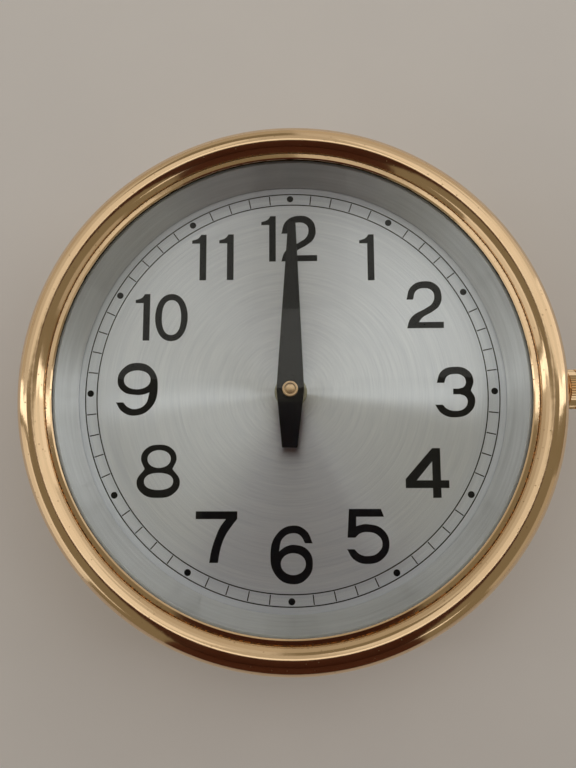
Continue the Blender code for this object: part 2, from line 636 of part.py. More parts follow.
def make_hinge(case, bezel):
    """The two leaves at 9 o'clock, seated on the drum and on the skirt, with pin and screws."""
    knuckle_top = KNUCKLE_RADIUS + 2 * GAP
    bore = rod("hinge_bore", HINGE_PIN_RADIUS + GAP,
               (hinge_x, -2 * HINGE_HALF_LENGTH, hinge_height),
               (hinge_x, 2 * HINGE_HALF_LENGTH, hinge_height))
    case_seat = turned("drum_seat", [(0.0, 2 * DIAL_HEIGHT), (case_outer + GAP, 2 * DIAL_HEIGHT),
                                     (case_outer + GAP, 0.0), (0.0, 0.0)], ROUND_SIDES)
    bezel_seat = turned("skirt_seat", [
        (0.0, 2 * DIAL_HEIGHT), (skirt_outer + GAP, 2 * DIAL_HEIGHT),
        (skirt_outer + GAP, 0.0), (0.0, 0.0)], ROUND_SIDES)

    case_face = -(case_outer + LEAF_THICKNESS)
    case_leaf = block("case_hinge_leaf",
                      (case_face, -HINGE_HALF_LENGTH, hinge_height - CASE_LEAF_DROP),
                      (-case_inner, HINGE_HALF_LENGTH, hinge_height - 1.5 * GAP), brass)
    for side in (-1, 1):
        ends = sorted((side * (BEZEL_KNUCKLE_HALF + GAP), side * HINGE_HALF_LENGTH))
        join(case_leaf,
             rod(f"case_knuckle_{side + 2}", KNUCKLE_RADIUS, (hinge_x, ends[0], hinge_height),
                 (hinge_x, ends[1], hinge_height)),
             block(f"case_web_{side + 2}",
                   (hinge_x, ends[0], hinge_height - KNUCKLE_RADIUS + GAP / 2),
                   (case_face + LEAF_THICKNESS / 2, ends[1], hinge_height - 2 * GAP)))
    cut(case_leaf, case_seat, bore)

    bezel_face = -(skirt_outer + GAP + LEAF_THICKNESS)
    bezel_leaf = block("bezel_hinge_leaf",
                       (bezel_face, -HINGE_HALF_LENGTH, hinge_height + knuckle_top),
                       (-skirt_inner, HINGE_HALF_LENGTH, hinge_height + BEZEL_LEAF_TOP),
                       polished_brass)
    join(bezel_leaf,
         rod("bezel_knuckle", KNUCKLE_RADIUS, (hinge_x, -BEZEL_KNUCKLE_HALF, hinge_height),
             (hinge_x, BEZEL_KNUCKLE_HALF, hinge_height)),
         block("bezel_web", (hinge_x, -BEZEL_KNUCKLE_HALF, hinge_height),
               (-skirt_inner, BEZEL_KNUCKLE_HALF, hinge_height + knuckle_top + GAP)))
    cut(bezel_leaf, bezel_seat, bore)

    reach = HINGE_HALF_LENGTH + GAP
    head_top = reach + PIN_HEAD_HEIGHT
    pin = turned("hinge_pin", [
        (0.0, head_top), (HINGE_PIN_RADIUS, head_top),
        (PIN_HEAD_RADIUS, reach + PIN_HEAD_HEIGHT / 2), (PIN_HEAD_RADIUS, reach),
        (HINGE_PIN_RADIUS, reach), (HINGE_PIN_RADIUS, -reach), (0.0, -reach)], SMALL_SIDES, steel)
    pin.location = (hinge_x, 0.0, hinge_height)
    pin.rotation_euler = (-math.pi / 2, 0.0, 0.0)

    hole = SCREW_M2_RADIUS + GAP
    leaves = (("case", case_leaf, case, case_face, case_outer - CASE_WALL,
               hinge_height - CASE_LEAF_DROP / 2 - KNUCKLE_RADIUS / 2),
              ("bezel", bezel_leaf, bezel, bezel_face, skirt_outer - SKIRT_WALL,
               hinge_height + (BEZEL_LEAF_TOP + knuckle_top) / 2))
    for label, leaf, wall, face, wall_inner, height in leaves:
        for side in (-1, 1):
            y = side * HINGE_SCREW_SPREAD
            name = f"{label}_hinge_screw_{(side + 3) // 2}"
            drill = rod(name + "_hole", hole, (face - LEAF_THICKNESS, y, height),
                        (-wall_inner + 2 * CASE_WALL, y, height), TINY_SIDES)
            cut(leaf, drill)
            cut(wall, drill)
            shank = -face - math.sqrt(wall_inner ** 2 - y ** 2)
            fixing = screw(name, (face - GAP, y, height), SCREW_M2_RADIUS,
                           SCREW_M2_HEAD_RADIUS, SCREW_M2_HEAD_HEIGHT, shank, steel)
            fixing.rotation_euler = (0.0, -math.pi / 2, 0.0)


def gear(name, teeth, module, tooth_angle, bottom, top, bore):
    """A gear ring about the Z axis, to be joined to the hub, pipe or arbor in its bore."""
    outline = gear_points(teeth, module, tooth_angle)
    return flat(name, [outline, circle_points(bore, SMALL_SIDES)], bottom, top)


def angle_to(start, end):
    way = end - start
    return math.atan2(way.y, way.x)


def make_plates():
    """The movement's plates: the front one has the bush and a stud, the back one two bosses."""
    corners = ((-PLATE_HALF_WIDTH, PLATE_BOTTOM_Y), (PLATE_HALF_WIDTH, PLATE_TOP_Y))
    front = block("movement_front_plate", (*corners[0], front_plate_under),
                  (*corners[1], front_plate_top), brass, PLATE_CORNER)
    back = block("movement_back_plate", (*corners[0], back_plate_under),
                 (*corners[1], back_plate_top), brass, PLATE_CORNER)
    middle = (front_plate_top + front_plate_under) / 2
    bush_top = DIAL_HEIGHT + BUSH_RISE
    join(front, rod("bush", BUSH_RADIUS, (0.0, 0.0, middle), (0.0, 0.0, bush_top)),
         rod("minute_stud", STUD_RADIUS, stud_place + Vector((0.0, 0.0, middle)),
             stud_place + Vector((0.0, 0.0, cannon_foot - GAP)), TINY_SIDES))
    cut(front, rod("bush_bore", BUSH_BORE_RADIUS, (0.0, 0.0, front_plate_under - MM),
                   (0.0, 0.0, bush_top + MM)))

    for side in (-1, 1):
        place = Vector((side * leg_middle, rotor_place.y, 0.0))
        seat = stator_under - GAP
        post = turned(f"stator_post_{(side + 3) // 2}", [
            (0.0, stator_top - GAP), (STATOR_PIN_RADIUS, stator_top - GAP),
            (STATOR_PIN_RADIUS, seat), (STATOR_BOSS_RADIUS, seat),
            (STATOR_BOSS_RADIUS, back_plate_top - PLATE_THICKNESS / 2),
            (0.0, back_plate_top - PLATE_THICKNESS / 2)], TINY_SIDES)
        post.location = place
        join(back, post)

    for label, place in (("step", step_place), ("rotor", rotor_place)):
        cut(front, rod(f"{label}_front_hole", PIVOT_RADIUS + GAP,
                       place + Vector((0.0, 0.0, front_plate_under - MM)),
                       place + Vector((0.0, 0.0, front_plate_top + MM)), TINY_SIDES))
        cut(back, rod(f"{label}_back_hole", PIVOT_RADIUS + GAP,
                      place + Vector((0.0, 0.0, back_plate_under - MM)),
                      place + Vector((0.0, 0.0, back_plate_top + MM)), TINY_SIDES))
    cut(back, rod("centre_back_hole", PIVOT_RADIUS + GAP, (0.0, 0.0, back_plate_under - MM),
                  (0.0, 0.0, back_plate_top + MM), TINY_SIDES))
    make_plate_pillars(front, back)

    nut_foot = DIAL_HEIGHT + GAP
    nut_top = nut_foot + NUT_THICKNESS
    turned("dial_nut", [
        (BUSH_RADIUS + GAP, nut_top), (NUT_RADIUS - NUT_EDGE, nut_top),
        (NUT_RADIUS, nut_top - NUT_EDGE), (NUT_RADIUS, nut_foot),
        (BUSH_RADIUS + GAP, nut_foot)], 2 * SMALL_SIDES, polished_brass, closed=True)


def make_plate_pillars(front, back):
    """Four pillars: a pin riveted into the front plate, a screw through the back plate."""
    pin = PILLAR_PIN_RADIUS
    thread = SCREW_M2_RADIUS + GAP
    left, right = -PLATE_HALF_WIDTH + PLATE_INSET, PLATE_HALF_WIDTH - PLATE_INSET
    low, high = PLATE_BOTTOM_Y + PLATE_INSET, PLATE_TOP_Y - PLATE_INSET
    foot = back_plate_top + GAP
    bore_top = foot + SCREW_BITE
    for number, (x, y) in enumerate(((left, low), (right, low), (left, high), (right, high))):
        place = Vector((x, y, 0.0))
        pillar = turned(f"movement_pillar_{number + 1}", [
            (0.0, front_plate_top - GAP), (pin, front_plate_top - GAP),
            (pin, front_plate_under - GAP), (PILLAR_RADIUS, front_plate_under - GAP),
            (PILLAR_RADIUS, foot), (thread, foot), (thread, bore_top), (0.0, bore_top)],
            TINY_SIDES, brass)
        pillar.location = place
        cut(front, rod(f"pillar_front_hole_{number + 1}", pin + GAP,
                       place + Vector((0.0, 0.0, front_plate_under - MM)),
                       place + Vector((0.0, 0.0, front_plate_top + MM)), TINY_SIDES))
        cut(back, rod(f"pillar_back_hole_{number + 1}", thread,
                      place + Vector((0.0, 0.0, back_plate_under - MM)),
                      place + Vector((0.0, 0.0, back_plate_top + MM)), TINY_SIDES))
        screw(f"movement_screw_{number + 1}",
              place + Vector((0.0, 0.0, back_plate_under - GAP)), SCREW_M2_RADIUS,
              SCREW_M2_HEAD_RADIUS, SCREW_M2_HEAD_HEIGHT,
              PLATE_THICKNESS + SCREW_BITE - GAP, steel, way="down")


def arbor_profile(radius):
    """An arbor with thinner pivots that run in both plates."""
    return [(0.0, front_pivot), (PIVOT_RADIUS, front_pivot),
            (PIVOT_RADIUS, front_plate_under - GAP), (radius, front_plate_under - GAP),
            (radius, back_plate_top + GAP), (PIVOT_RADIUS, back_plate_top + GAP),
            (PIVOT_RADIUS, back_pivot), (0.0, back_pivot)]


def place_with_tools(piece, place):
    """Put a piece, and the tools that are joined to it, on an arbor."""
    tools = [step.object for step in piece.modifiers if step.type == "BOOLEAN"]
    for shape in (piece, *tools):
        shape.location = place


def make_centre_arbor():
    """The centre wheel on its arbor, and the cannon pinion whose pipe sits over the arbor."""
    hub_under = centre_gear_under - RUNNING_GAP
    centre = turned("centre_wheel", [
        (0.0, spindle_end), (ARBOR_RADIUS, spindle_end),
        (ARBOR_RADIUS, centre_gear_top + GAP), (CENTRE_HUB_RADIUS, centre_gear_top + GAP),
        (CENTRE_HUB_RADIUS, hub_under), (ARBOR_RADIUS, hub_under),
        (ARBOR_RADIUS, back_plate_top + GAP), (PIVOT_RADIUS, back_plate_top + GAP),
        (PIVOT_RADIUS, back_pivot), (0.0, back_pivot)], TINY_SIDES, brass)
    origin = Vector((0.0, 0.0, 0.0))
    join(centre, gear("centre_gear", CENTRE_TEETH, DRIVE_MODULE, angle_to(origin, step_place),
                      centre_gear_under, centre_gear_top, ARBOR_RADIUS))

    cannon = ring("cannon_pinion", pipe_inner, pipe_outer, cannon_foot, spindle_end, SMALL_SIDES,
                  brass)
    join(cannon, gear("cannon_gear", CANNON_TEETH, MOTION_MODULE, MINUTE_STUD_ANGLE,
                      minute_gear_under - RUNNING_GAP / 2, minute_gear_top + RUNNING_GAP / 2,
                      (pipe_inner + pipe_outer) / 2))


def make_hour_wheel():
    """The hour wheel, with the pipe that carries the hour hand through the bush."""
    pipe_top = DIAL_HEIGHT + HOUR_RISE + HAND_THICKNESS + 2 * GAP
    wheel = ring("hour_wheel", hour_pipe_inner, hour_pipe_outer, hour_gear_under - GAP,
                 pipe_top, SMALL_SIDES, brass)
    join(wheel, gear("hour_gear", HOUR_TEETH, hour_module, MINUTE_STUD_ANGLE,
                     hour_gear_under, hour_gear_top, (hour_pipe_inner + hour_pipe_outer) / 2))


def make_minute_wheel():
    """The minute wheel and its pinion, turning on the stud of the front plate."""
    bore = STUD_RADIUS + GAP
    hub = (bore + MINUTE_PINION_TEETH * hour_module / 2 - DEDENDUM * hour_module) / 2
    facing = MINUTE_STUD_ANGLE + math.pi
    wheel = ring("minute_wheel", bore, hub, minute_gear_under - GAP, hour_gear_top + GAP, SMALL_SIDES,
                 brass)
    join(wheel,
         gear("minute_gear", MINUTE_TEETH, MOTION_MODULE,
              facing + math.pi / MINUTE_TEETH, minute_gear_under, minute_gear_top,
              (bore + hub) / 2),
         gear("minute_pinion", MINUTE_PINION_TEETH, hour_module,
              facing + math.pi / MINUTE_PINION_TEETH, minute_gear_top - GAP, hour_gear_top,
              (bore + hub) / 2))
    place_with_tools(wheel, stud_place)


def make_step_wheel():
    """The wheel and pinion between the rotor and the centre wheel."""
    wheel = turned("step_wheel", arbor_profile(STEP_ARBOR_RADIUS), TINY_SIDES, steel)
    facing = angle_to(step_place, Vector((0.0, 0.0, 0.0)))
    towards_rotor = angle_to(step_place, rotor_place)
    join(wheel,
         gear("step_pinion", DRIVE_PINION_TEETH, DRIVE_MODULE,
              facing + math.pi / DRIVE_PINION_TEETH, centre_gear_under - GAP,
              centre_gear_top + GAP, STEP_ARBOR_RADIUS / 2),
         gear("step_gear", STEP_TEETH, ROTOR_MODULE, towards_rotor, step_gear_under,
              step_gear_top, STEP_ARBOR_RADIUS / 2))
    place_with_tools(wheel, step_place)


def make_rotor():
    """The rotor: a magnet ring on an arbor with a pinion."""
    facing = angle_to(rotor_place, step_place)
    arbor = turned("rotor_arbor", arbor_profile(ARBOR_RADIUS), TINY_SIDES, steel)
    join(arbor, gear("rotor_pinion", ROTOR_PINION_TEETH, ROTOR_MODULE,
                     facing + math.pi / ROTOR_PINION_TEETH, step_gear_under - GAP,
                     step_gear_top + GAP, ARBOR_RADIUS / 2))
    place_with_tools(arbor, rotor_place)
    rotor = ring("rotor_magnet", ARBOR_RADIUS + GAP, ROTOR_RADIUS, rotor_under, rotor_top,
                 SMALL_SIDES, magnet)
    rotor.location = rotor_place


def make_stator():
    """The stator frame round the rotor and through the coil, the bobbin and its winding."""
    core_low = coil_y - STATOR_LEG_WIDTH / 2
    core_high = coil_y + STATOR_LEG_WIDTH / 2
    bar_low = rotor_place.y - STATOR_BAR_HALF
    bar_high = rotor_place.y + STATOR_BAR_HALF
    stator = block("stator_core", (-leg_outer, bar_low, stator_under),
                   (leg_outer, bar_high, stator_top), steel)
    join(stator,
         block("left_leg", (-leg_outer, core_low, stator_under),
               (-leg_inner, bar_low + MM, stator_top)),
         block("right_leg", (leg_inner, core_low, stator_under),
               (leg_outer, bar_low + MM, stator_top)),
         block("coil_leg", (-leg_inner - MM, core_low, stator_under),
               (leg_inner + MM, core_high, stator_top)),
         rod("stator_ring", stator_ring,
             rotor_place + Vector((0.0, 0.0, stator_under)),
             rotor_place + Vector((0.0, 0.0, stator_top))))
    cut(stator, rod("rotor_bore", ROTOR_RADIUS + ROTOR_AIR_GAP,
                    rotor_place + Vector((0.0, 0.0, stator_under - MM)),
                    rotor_place + Vector((0.0, 0.0, stator_top + MM))))
    for side in (-1, 1):
        place = Vector((side * leg_middle, rotor_place.y, 0.0))
        cut(stator, rod(f"stator_hole_{(side + 3) // 2}", STATOR_PIN_RADIUS + GAP,
                        place + Vector((0.0, 0.0, stator_under - MM)),
                        place + Vector((0.0, 0.0, stator_top + MM)), TINY_SIDES))

    core_z = (stator_top + stator_under) / 2
    half = COIL_LENGTH / 2
    tube_y = STATOR_LEG_WIDTH / 2 + GAP + COIL_WALL
    tube_z = STATOR_THICKNESS / 2 + GAP + COIL_WALL

    def around(name, start, end, half_y, half_z, finish=None, corner=0.0):
        return block(name, (start, coil_y - half_y, core_z - half_z),
                     (end, coil_y + half_y, core_z + half_z), finish, corner)

    bobbin = around("coil_bobbin", -half, half, tube_y, tube_z, nylon)
    join(bobbin,
         around("left_flange", -half, -half + COIL_FLANGE, COIL_FLANGE_HALF_Y,
                COIL_FLANGE_HALF_Z),
         around("right_flange", half - COIL_FLANGE, half, COIL_FLANGE_HALF_Y,
                COIL_FLANGE_HALF_Z))
    cut(bobbin, around("core_hole", -half - MM, half + MM, tube_y - COIL_WALL,
                       tube_z - COIL_WALL))
    winding_end = half - COIL_FLANGE - GAP
    winding = around("coil_winding", -winding_end, winding_end,
                     COIL_FLANGE_HALF_Y - COIL_MARGIN, COIL_FLANGE_HALF_Z - COIL_MARGIN, copper)
    cut(winding, around("bobbin_space", -half, half, tube_y + GAP, tube_z + GAP))


def make_terminals():
    """The terminal block on the case floor, with barriers between its screws."""
    floor = CASE_FLOOR + GAP
    half = TERMINAL_LENGTH / 2
    low_y, high_y = TERMINAL_Y - TERMINAL_DEPTH / 2, TERMINAL_Y + TERMINAL_DEPTH / 2
    top = floor + TERMINAL_HEIGHT
    terminals = block("terminal_block", (-half, low_y, floor), (half, high_y, top), moulding)
    for number in range(TERMINAL_SCREWS + 1):
        x = (number - TERMINAL_SCREWS / 2) * TERMINAL_PITCH
        join(terminals, block(f"barrier_{number + 1}",
                              (x - BARRIER_THICKNESS / 2, low_y + MM / 2, top - MM),
                              (x + BARRIER_THICKNESS / 2, high_y - MM / 2,
                               top + BARRIER_HEIGHT)))
    for number in range(TERMINAL_SCREWS):
        x = (number - (TERMINAL_SCREWS - 1) / 2) * TERMINAL_PITCH
        cut(terminals, rod(f"terminal_hole_{number + 1}", SCREW_M3_RADIUS + GAP,
                           (x, TERMINAL_Y, top + MM), (x, TERMINAL_Y, top - SCREW_BITE), TINY_SIDES))
        screw(f"terminal_screw_{number + 1}", (x, TERMINAL_Y, top + GAP), SCREW_M3_RADIUS,
              SCREW_M3_HEAD_RADIUS, SCREW_HEAD_HEIGHT, SCREW_BITE - GAP, brass)


def hand_outline(length, tail, hub_width, tip_width, tail_width):
    """A tapering hand with a shorter tapering tail, both ends cut square."""
    return [(-tail_width / 2, -tail), (tail_width / 2, -tail), (hub_width / 2, 0.0),
            (tip_width / 2, length), (-tip_width / 2, length), (-hub_width / 2, 0.0)]


def make_hands():
    """The two hands, the collets that they are riveted to, and the cap over the arbor."""
    hour_under = DIAL_HEIGHT + HOUR_RISE
    hour_bore = hour_pipe_outer + GAP
    flat("hour_hand", [hand_outline(HOUR_LENGTH, HOUR_TAIL, HOUR_HUB_WIDTH, HOUR_TIP_WIDTH,
                                    HOUR_TAIL_WIDTH), circle_points(hour_bore, SMALL_SIDES)],
         hour_under, hour_under + HAND_THICKNESS, black_paint)
    ring("hour_collet", hour_bore, hour_bore + COLLET_WALL, hour_under - GAP - COLLET_HEIGHT,
         hour_under - GAP, SMALL_SIDES, brass)

    minute_under = DIAL_HEIGHT + MINUTE_RISE
    minute_bore = pipe_outer + GAP
    minute = flat("minute_hand", [
        hand_outline(MINUTE_LENGTH, MINUTE_TAIL, MINUTE_HUB_WIDTH, MINUTE_TIP_WIDTH,
                     MINUTE_TAIL_WIDTH), circle_points(minute_bore, SMALL_SIDES)],
        minute_under, minute_hand_top, black_paint)
    minute.rotation_euler = (0.0, 0.0, MINUTE_LEAN)
    ring("minute_collet", minute_bore, minute_bore + COLLET_WALL,
         minute_under - GAP - COLLET_HEIGHT, minute_under - GAP, SMALL_SIDES, brass)
    cap_foot = minute_hand_top + GAP
    groove_outer = CAP_GROOVE_RADIUS + CAP_GROOVE_WIDTH
    turned("hand_cap", [
        (0.0, cap_top), (CAP_GROOVE_RADIUS, cap_top),
        (CAP_GROOVE_RADIUS, cap_top - CAP_GROOVE_DEPTH), (groove_outer, cap_top - CAP_GROOVE_DEPTH),
        (groove_outer, cap_top), (CAP_RADIUS - CAP_EDGE, cap_top),
        (CAP_RADIUS, cap_top - CAP_EDGE), (CAP_RADIUS, cap_foot), (minute_bore, cap_foot),
        (minute_bore, cap_roof_under), (0.0, cap_roof_under)],
        SMALL_SIDES, polished_brass)


def shade_parts():
    """Apply the modifiers and shade the turned faces smooth, with their corners kept sharp."""
    depsgraph = bpy.context.evaluated_depsgraph_get()
    finished = {piece: bpy.data.meshes.new_from_object(piece.evaluated_get(depsgraph))
                for piece in clock_parts.objects}
    for piece, mesh in finished.items():
        piece.modifiers.clear()
        piece.data = mesh
        mesh.shade_smooth()
        mesh.set_sharp_from_angle(angle=math.radians(35.0))


def hang_bezel():
    """Hang all that opens with the bezel from an empty on the hinge axis."""
    axis = bpy.data.objects.new("bezel_axis", None)
    axis.location = (hinge_x, 0.0, hinge_height)
    clock_parts.objects.link(axis)
    for piece in clock_parts.objects:
        if piece.name.startswith(("bezel_ring", "bezel_hinge", "glass", "clamp_screw", "thumb")):
            piece.parent = axis
            piece.matrix_parent_inverse = Matrix.Translation(axis.location).inverted()


clock_case = make_case()
make_dial()
clock_bezel = make_bezel()
make_thumbscrew(clock_bezel)
make_hinge(clock_case, clock_bezel)
make_plates()
make_centre_arbor()
make_hour_wheel()
make_minute_wheel()
make_step_wheel()
make_rotor()
make_stator()
make_terminals()
make_hands()
shade_parts()
hang_bezel()
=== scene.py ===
"""The looks of a round brass slave clock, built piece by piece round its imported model."""
import math

import bmesh
import bpy
from mathutils import Euler, Matrix, Vector


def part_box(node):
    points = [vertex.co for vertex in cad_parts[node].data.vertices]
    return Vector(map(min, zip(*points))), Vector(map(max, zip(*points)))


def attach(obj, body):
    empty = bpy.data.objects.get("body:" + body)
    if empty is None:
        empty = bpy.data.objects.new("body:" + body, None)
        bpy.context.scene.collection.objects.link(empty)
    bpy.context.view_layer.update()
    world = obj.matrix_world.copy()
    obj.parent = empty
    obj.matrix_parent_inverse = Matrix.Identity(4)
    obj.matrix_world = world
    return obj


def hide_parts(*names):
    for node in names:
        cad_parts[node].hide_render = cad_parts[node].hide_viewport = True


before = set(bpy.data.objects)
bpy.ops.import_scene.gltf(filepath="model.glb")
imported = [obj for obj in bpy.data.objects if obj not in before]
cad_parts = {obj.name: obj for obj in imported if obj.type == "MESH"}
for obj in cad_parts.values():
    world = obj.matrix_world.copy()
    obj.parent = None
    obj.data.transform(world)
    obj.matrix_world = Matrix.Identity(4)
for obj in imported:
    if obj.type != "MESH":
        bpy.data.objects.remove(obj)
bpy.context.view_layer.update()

# Case drum: a deep brass cup with a flange round its back, spun over a former on a lathe,
# drilled for three wall screws and for the cable, and coated with a thin clear lacquer.
MM = 0.001
dial_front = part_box("dial_plate")[1].z / MM
case_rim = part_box("case_drum")[1].z / MM
flange_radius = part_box("case_drum")[1].y / MM
case_outer = 115.3
case_wall = 1.6
case_floor = 2.0
case_fillet = 2.0
flange_edge = 0.8
flange_hole = 2.75
flange_hole_circle = (case_outer + case_fillet + flange_radius) / 2
cable_hole = 7.0
cable_height = 22.0
around = 256                        # faces round the large turned pieces
MIX_A, MIX_B = 6, 7                 # the colour sockets of a Mix node
MIX_COLOUR = 2


def colour(code):
    """An sRGB hex colour as the linear colour that a socket takes."""
    channels = []
    for start in (1, 3, 5):
        value = int(code[start:start + 2], 16) / 255
        channels.append(value / 12.92 if value <= 0.04045 else ((value + 0.055) / 1.055) ** 2.4)
    return (*channels, 1.0)


def add_node(surface, kind, settings, inputs):
    """Add a node with its own settings, and give each input a value or the socket feeding it."""
    node = surface.node_tree.nodes.new(kind)
    for name, value in settings.items():
        setattr(node, name, value)
    for name, value in inputs.items():
        if isinstance(value, bpy.types.NodeSocket):
            surface.node_tree.links.new(value, node.inputs[name])
        else:
            node.inputs[name].default_value = value
    return node


def new_surface(name, constants):
    """A material with the values that are the same all over, and the place in its object."""
    surface = bpy.data.materials.new(name)
    surface.use_nodes = True
    for socket, value in constants.items():
        surface.node_tree.nodes["Principled BSDF"].inputs[socket].default_value = value
    return surface, add_node(surface, "ShaderNodeTexCoord", {}, {}).outputs["Object"]


def feed(surface, **links):
    """Join sockets to the shader: base for colour, rough for roughness, normal for the bump and
    tangent for the way of the grain."""
    shader = surface.node_tree.nodes["Principled BSDF"]
    sockets = {"base": "Base Color", "rough": "Roughness", "normal": "Normal",
               "tangent": "Tangent"}
    for name, source in links.items():
        surface.node_tree.links.new(source, shader.inputs[sockets[name]])


def lathe_rings(surface, place):
    """A coordinate that grows outwards and along the axis, so that 1D noise on it makes rings."""
    apart = add_node(surface, "ShaderNodeSeparateXYZ", {}, {0: place})
    flat = add_node(surface, "ShaderNodeVectorMath", {"operation": "MULTIPLY"},
                    {0: place, 1: (1.0, 1.0, 0.0)})
    radius = add_node(surface, "ShaderNodeVectorMath", {"operation": "LENGTH"},
                      {0: flat.outputs["Vector"]})
    return add_node(surface, "ShaderNodeMath", {"operation": "ADD"},
                    {0: radius.outputs["Value"], 1: apart.outputs["Z"]}).outputs["Value"]


def off_ring(surface, rings, ring):
    """How far a point lies from one of the rings, whose place is given in mm."""
    beyond = add_node(surface, "ShaderNodeMath", {"operation": "SUBTRACT"},
                      {0: rings, 1: ring * MM})
    return add_node(surface, "ShaderNodeMath", {"operation": "ABSOLUTE"},
                    {0: beyond.outputs["Value"]}).outputs["Value"]


def texture(surface, tone, shine, relief, **links):
    """Lay colour, roughness and bump on a surface. Each is a pattern's socket and two values:
    the colours or the roughnesses at its ends, or the bump's strength and its depth in mm."""
    base = add_node(surface, "ShaderNodeMix", {"data_type": "RGBA"},
                    {0: tone[0], MIX_A: tone[1], MIX_B: tone[2]})
    rough = add_node(surface, "ShaderNodeMapRange", {},
                     {"Value": shine[0], "To Min": shine[1], "To Max": shine[2]})
    bump = add_node(surface, "ShaderNodeBump", {},
                    {"Height": relief[0], "Strength": relief[1], "Distance": relief[2] * MM})
    feed(surface, base=base.outputs[MIX_COLOUR], rough=rough.outputs["Result"],
         normal=bump.outputs["Normal"], **links)


def spun_brass():
    """Lacquered spun brass: fine lathe rings, a satin shine and a few browner clouds."""
    surface, place = new_surface("lacquered_spun_brass", {
        "Metallic": 1.0, "Anisotropic": 0.5, "Coat Weight": 0.25, "Coat Roughness": 0.2})
    rings = lathe_rings(surface, place)
    fine = add_node(surface, "ShaderNodeTexNoise", {"noise_dimensions": "1D"},
                    {"W": rings, "Scale": 1 / (0.5 * MM), "Detail": 3.0}).outputs["Fac"]
    clouds = add_node(surface, "ShaderNodeTexNoise", {},
                      {"Vector": place, "Scale": 1 / (30 * MM), "Detail": 4.0})
    worn = add_node(surface, "ShaderNodeMapRange", {},
                    {"Value": clouds.outputs["Fac"], "From Min": 0.45, "From Max": 0.75})
    clean = add_node(surface, "ShaderNodeMix", {"data_type": "RGBA"},
                     {0: fine, MIX_A: colour("#C29A5B"), MIX_B: colour("#D3AE70")})
    around_axis = add_node(surface, "ShaderNodeTangent",
                           {"direction_type": "RADIAL", "axis": "Z"}, {})
    texture(surface,
            (worn.outputs["Result"], clean.outputs[MIX_COLOUR], colour("#A98248")),
            (fine, 0.24, 0.4), (fine, 0.15, 0.03), tangent=around_axis.outputs["Tangent"])
    return surface


def arc(middle, radius, start, end, steps):
    """Points along an arc of a profile, from one angle in degrees to another."""
    turn = math.radians(end - start) / steps
    first = math.radians(start)
    return [(middle[0] + radius * math.cos(first + turn * step),
             middle[1] + radius * math.sin(first + turn * step)) for step in range(steps + 1)]


def spin(profile, steps=around, closed=False):
    """Turn (radius, height) points in millimetres about the Z axis."""
    form = bmesh.new()
    points = [form.verts.new((radius * MM, 0.0, height * MM)) for radius, height in profile]
    edges = [form.edges.new(pair) for pair in zip(points, points[1:])]
    if closed:
        edges.append(form.edges.new((points[-1], points[0])))
    bmesh.ops.spin(form, geom=points + edges, cent=(0, 0, 0), axis=(0, 0, 1), angle=math.tau,
                   steps=steps, use_merge=True)
    bmesh.ops.remove_doubles(form, verts=form.verts, dist=0.001 * MM)
    bmesh.ops.recalc_face_normals(form, faces=form.faces)
    return form


def flat_ring(inner, outer, low, high, steps=around):
    """A ring of square section between two radii and two heights, in millimetres."""
    return spin([(inner, low), (inner, high), (outer, high), (outer, low)], steps, closed=True)


def soften(form, width, segments=2, corner=30.0):
    """Round off the edges that turn more than corner degrees."""
    sharp = [edge for edge in form.edges if len(edge.link_faces) == 2
             and edge.calc_face_angle() > math.radians(corner)]
    bmesh.ops.bevel(form, geom=sharp, offset=width * MM, offset_type="OFFSET", segments=segments,
                    profile=0.5, affect="EDGES", material=-1, clamp_overlap=True)
    return form


def rod(radius, start, end, sides=48):
    """A round bar between two points, all in millimetres."""
    start, end = Vector(start) * MM, Vector(end) * MM
    way = end - start
    form = bmesh.new()
    bmesh.ops.create_cone(form, cap_ends=True, segments=sides, radius1=radius * MM,
                          radius2=radius * MM, depth=way.length)
    turn = way.to_track_quat("Z", "Y").to_matrix().to_4x4()
    bmesh.ops.transform(form, matrix=Matrix.Translation((start + end) / 2) @ turn, verts=form.verts)
    return form


def loose_object(form, name):
    """A bmesh as an object in the scene."""
    mesh = bpy.data.meshes.new(name)
    form.to_mesh(mesh)
    form.free()
    made = bpy.data.objects.new(name, mesh)
    bpy.context.scene.collection.objects.link(made)
    return made


def worked(form, tools, operation="DIFFERENCE"):
    """Cut tool shapes out of a shape, or join them to it, and give back the result."""
    target = loose_object(form, "worked_shape")
    cutters = [loose_object(tool, "tool_shape") for tool in tools]
    for cutter in cutters:
        step = target.modifiers.new("step", "BOOLEAN")
        step.operation = operation
        step.object = cutter
        step.solver = "EXACT"
    bpy.context.view_layer.update()
    mesh = bpy.data.meshes.new_from_object(
        target.evaluated_get(bpy.context.evaluated_depsgraph_get()))
    result = bmesh.new()
    result.from_mesh(mesh)
    for used in (target, *cutters):
        bpy.data.objects.remove(used)
    bpy.data.meshes.remove(mesh)
    return result


def polar(radius, degrees, height=0.0):
    """A point by its radius and its angle from +X."""
    return Vector((radius * math.cos(math.radians(degrees)),
                   radius * math.sin(math.radians(degrees)), height))


def finish_piece(form, name, body, slot, surface, *nodes):
    """Make a shape a smooth-shaded piece on its body, standing for the nodes it replaces."""
    piece = loose_object(form, name)
    piece.data.shade_smooth()
    piece.data.set_sharp_from_angle(angle=math.radians(35.0))
    even_shading = piece.modifiers.new("even_shading", "WEIGHTED_NORMAL")
    even_shading.weight = 100           # flat faces stay flat, and only the rounded edges turn
    even_shading.keep_sharp = True
    piece.data.materials.append(surface)
    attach(piece, body)
    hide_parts(*nodes)
    return piece


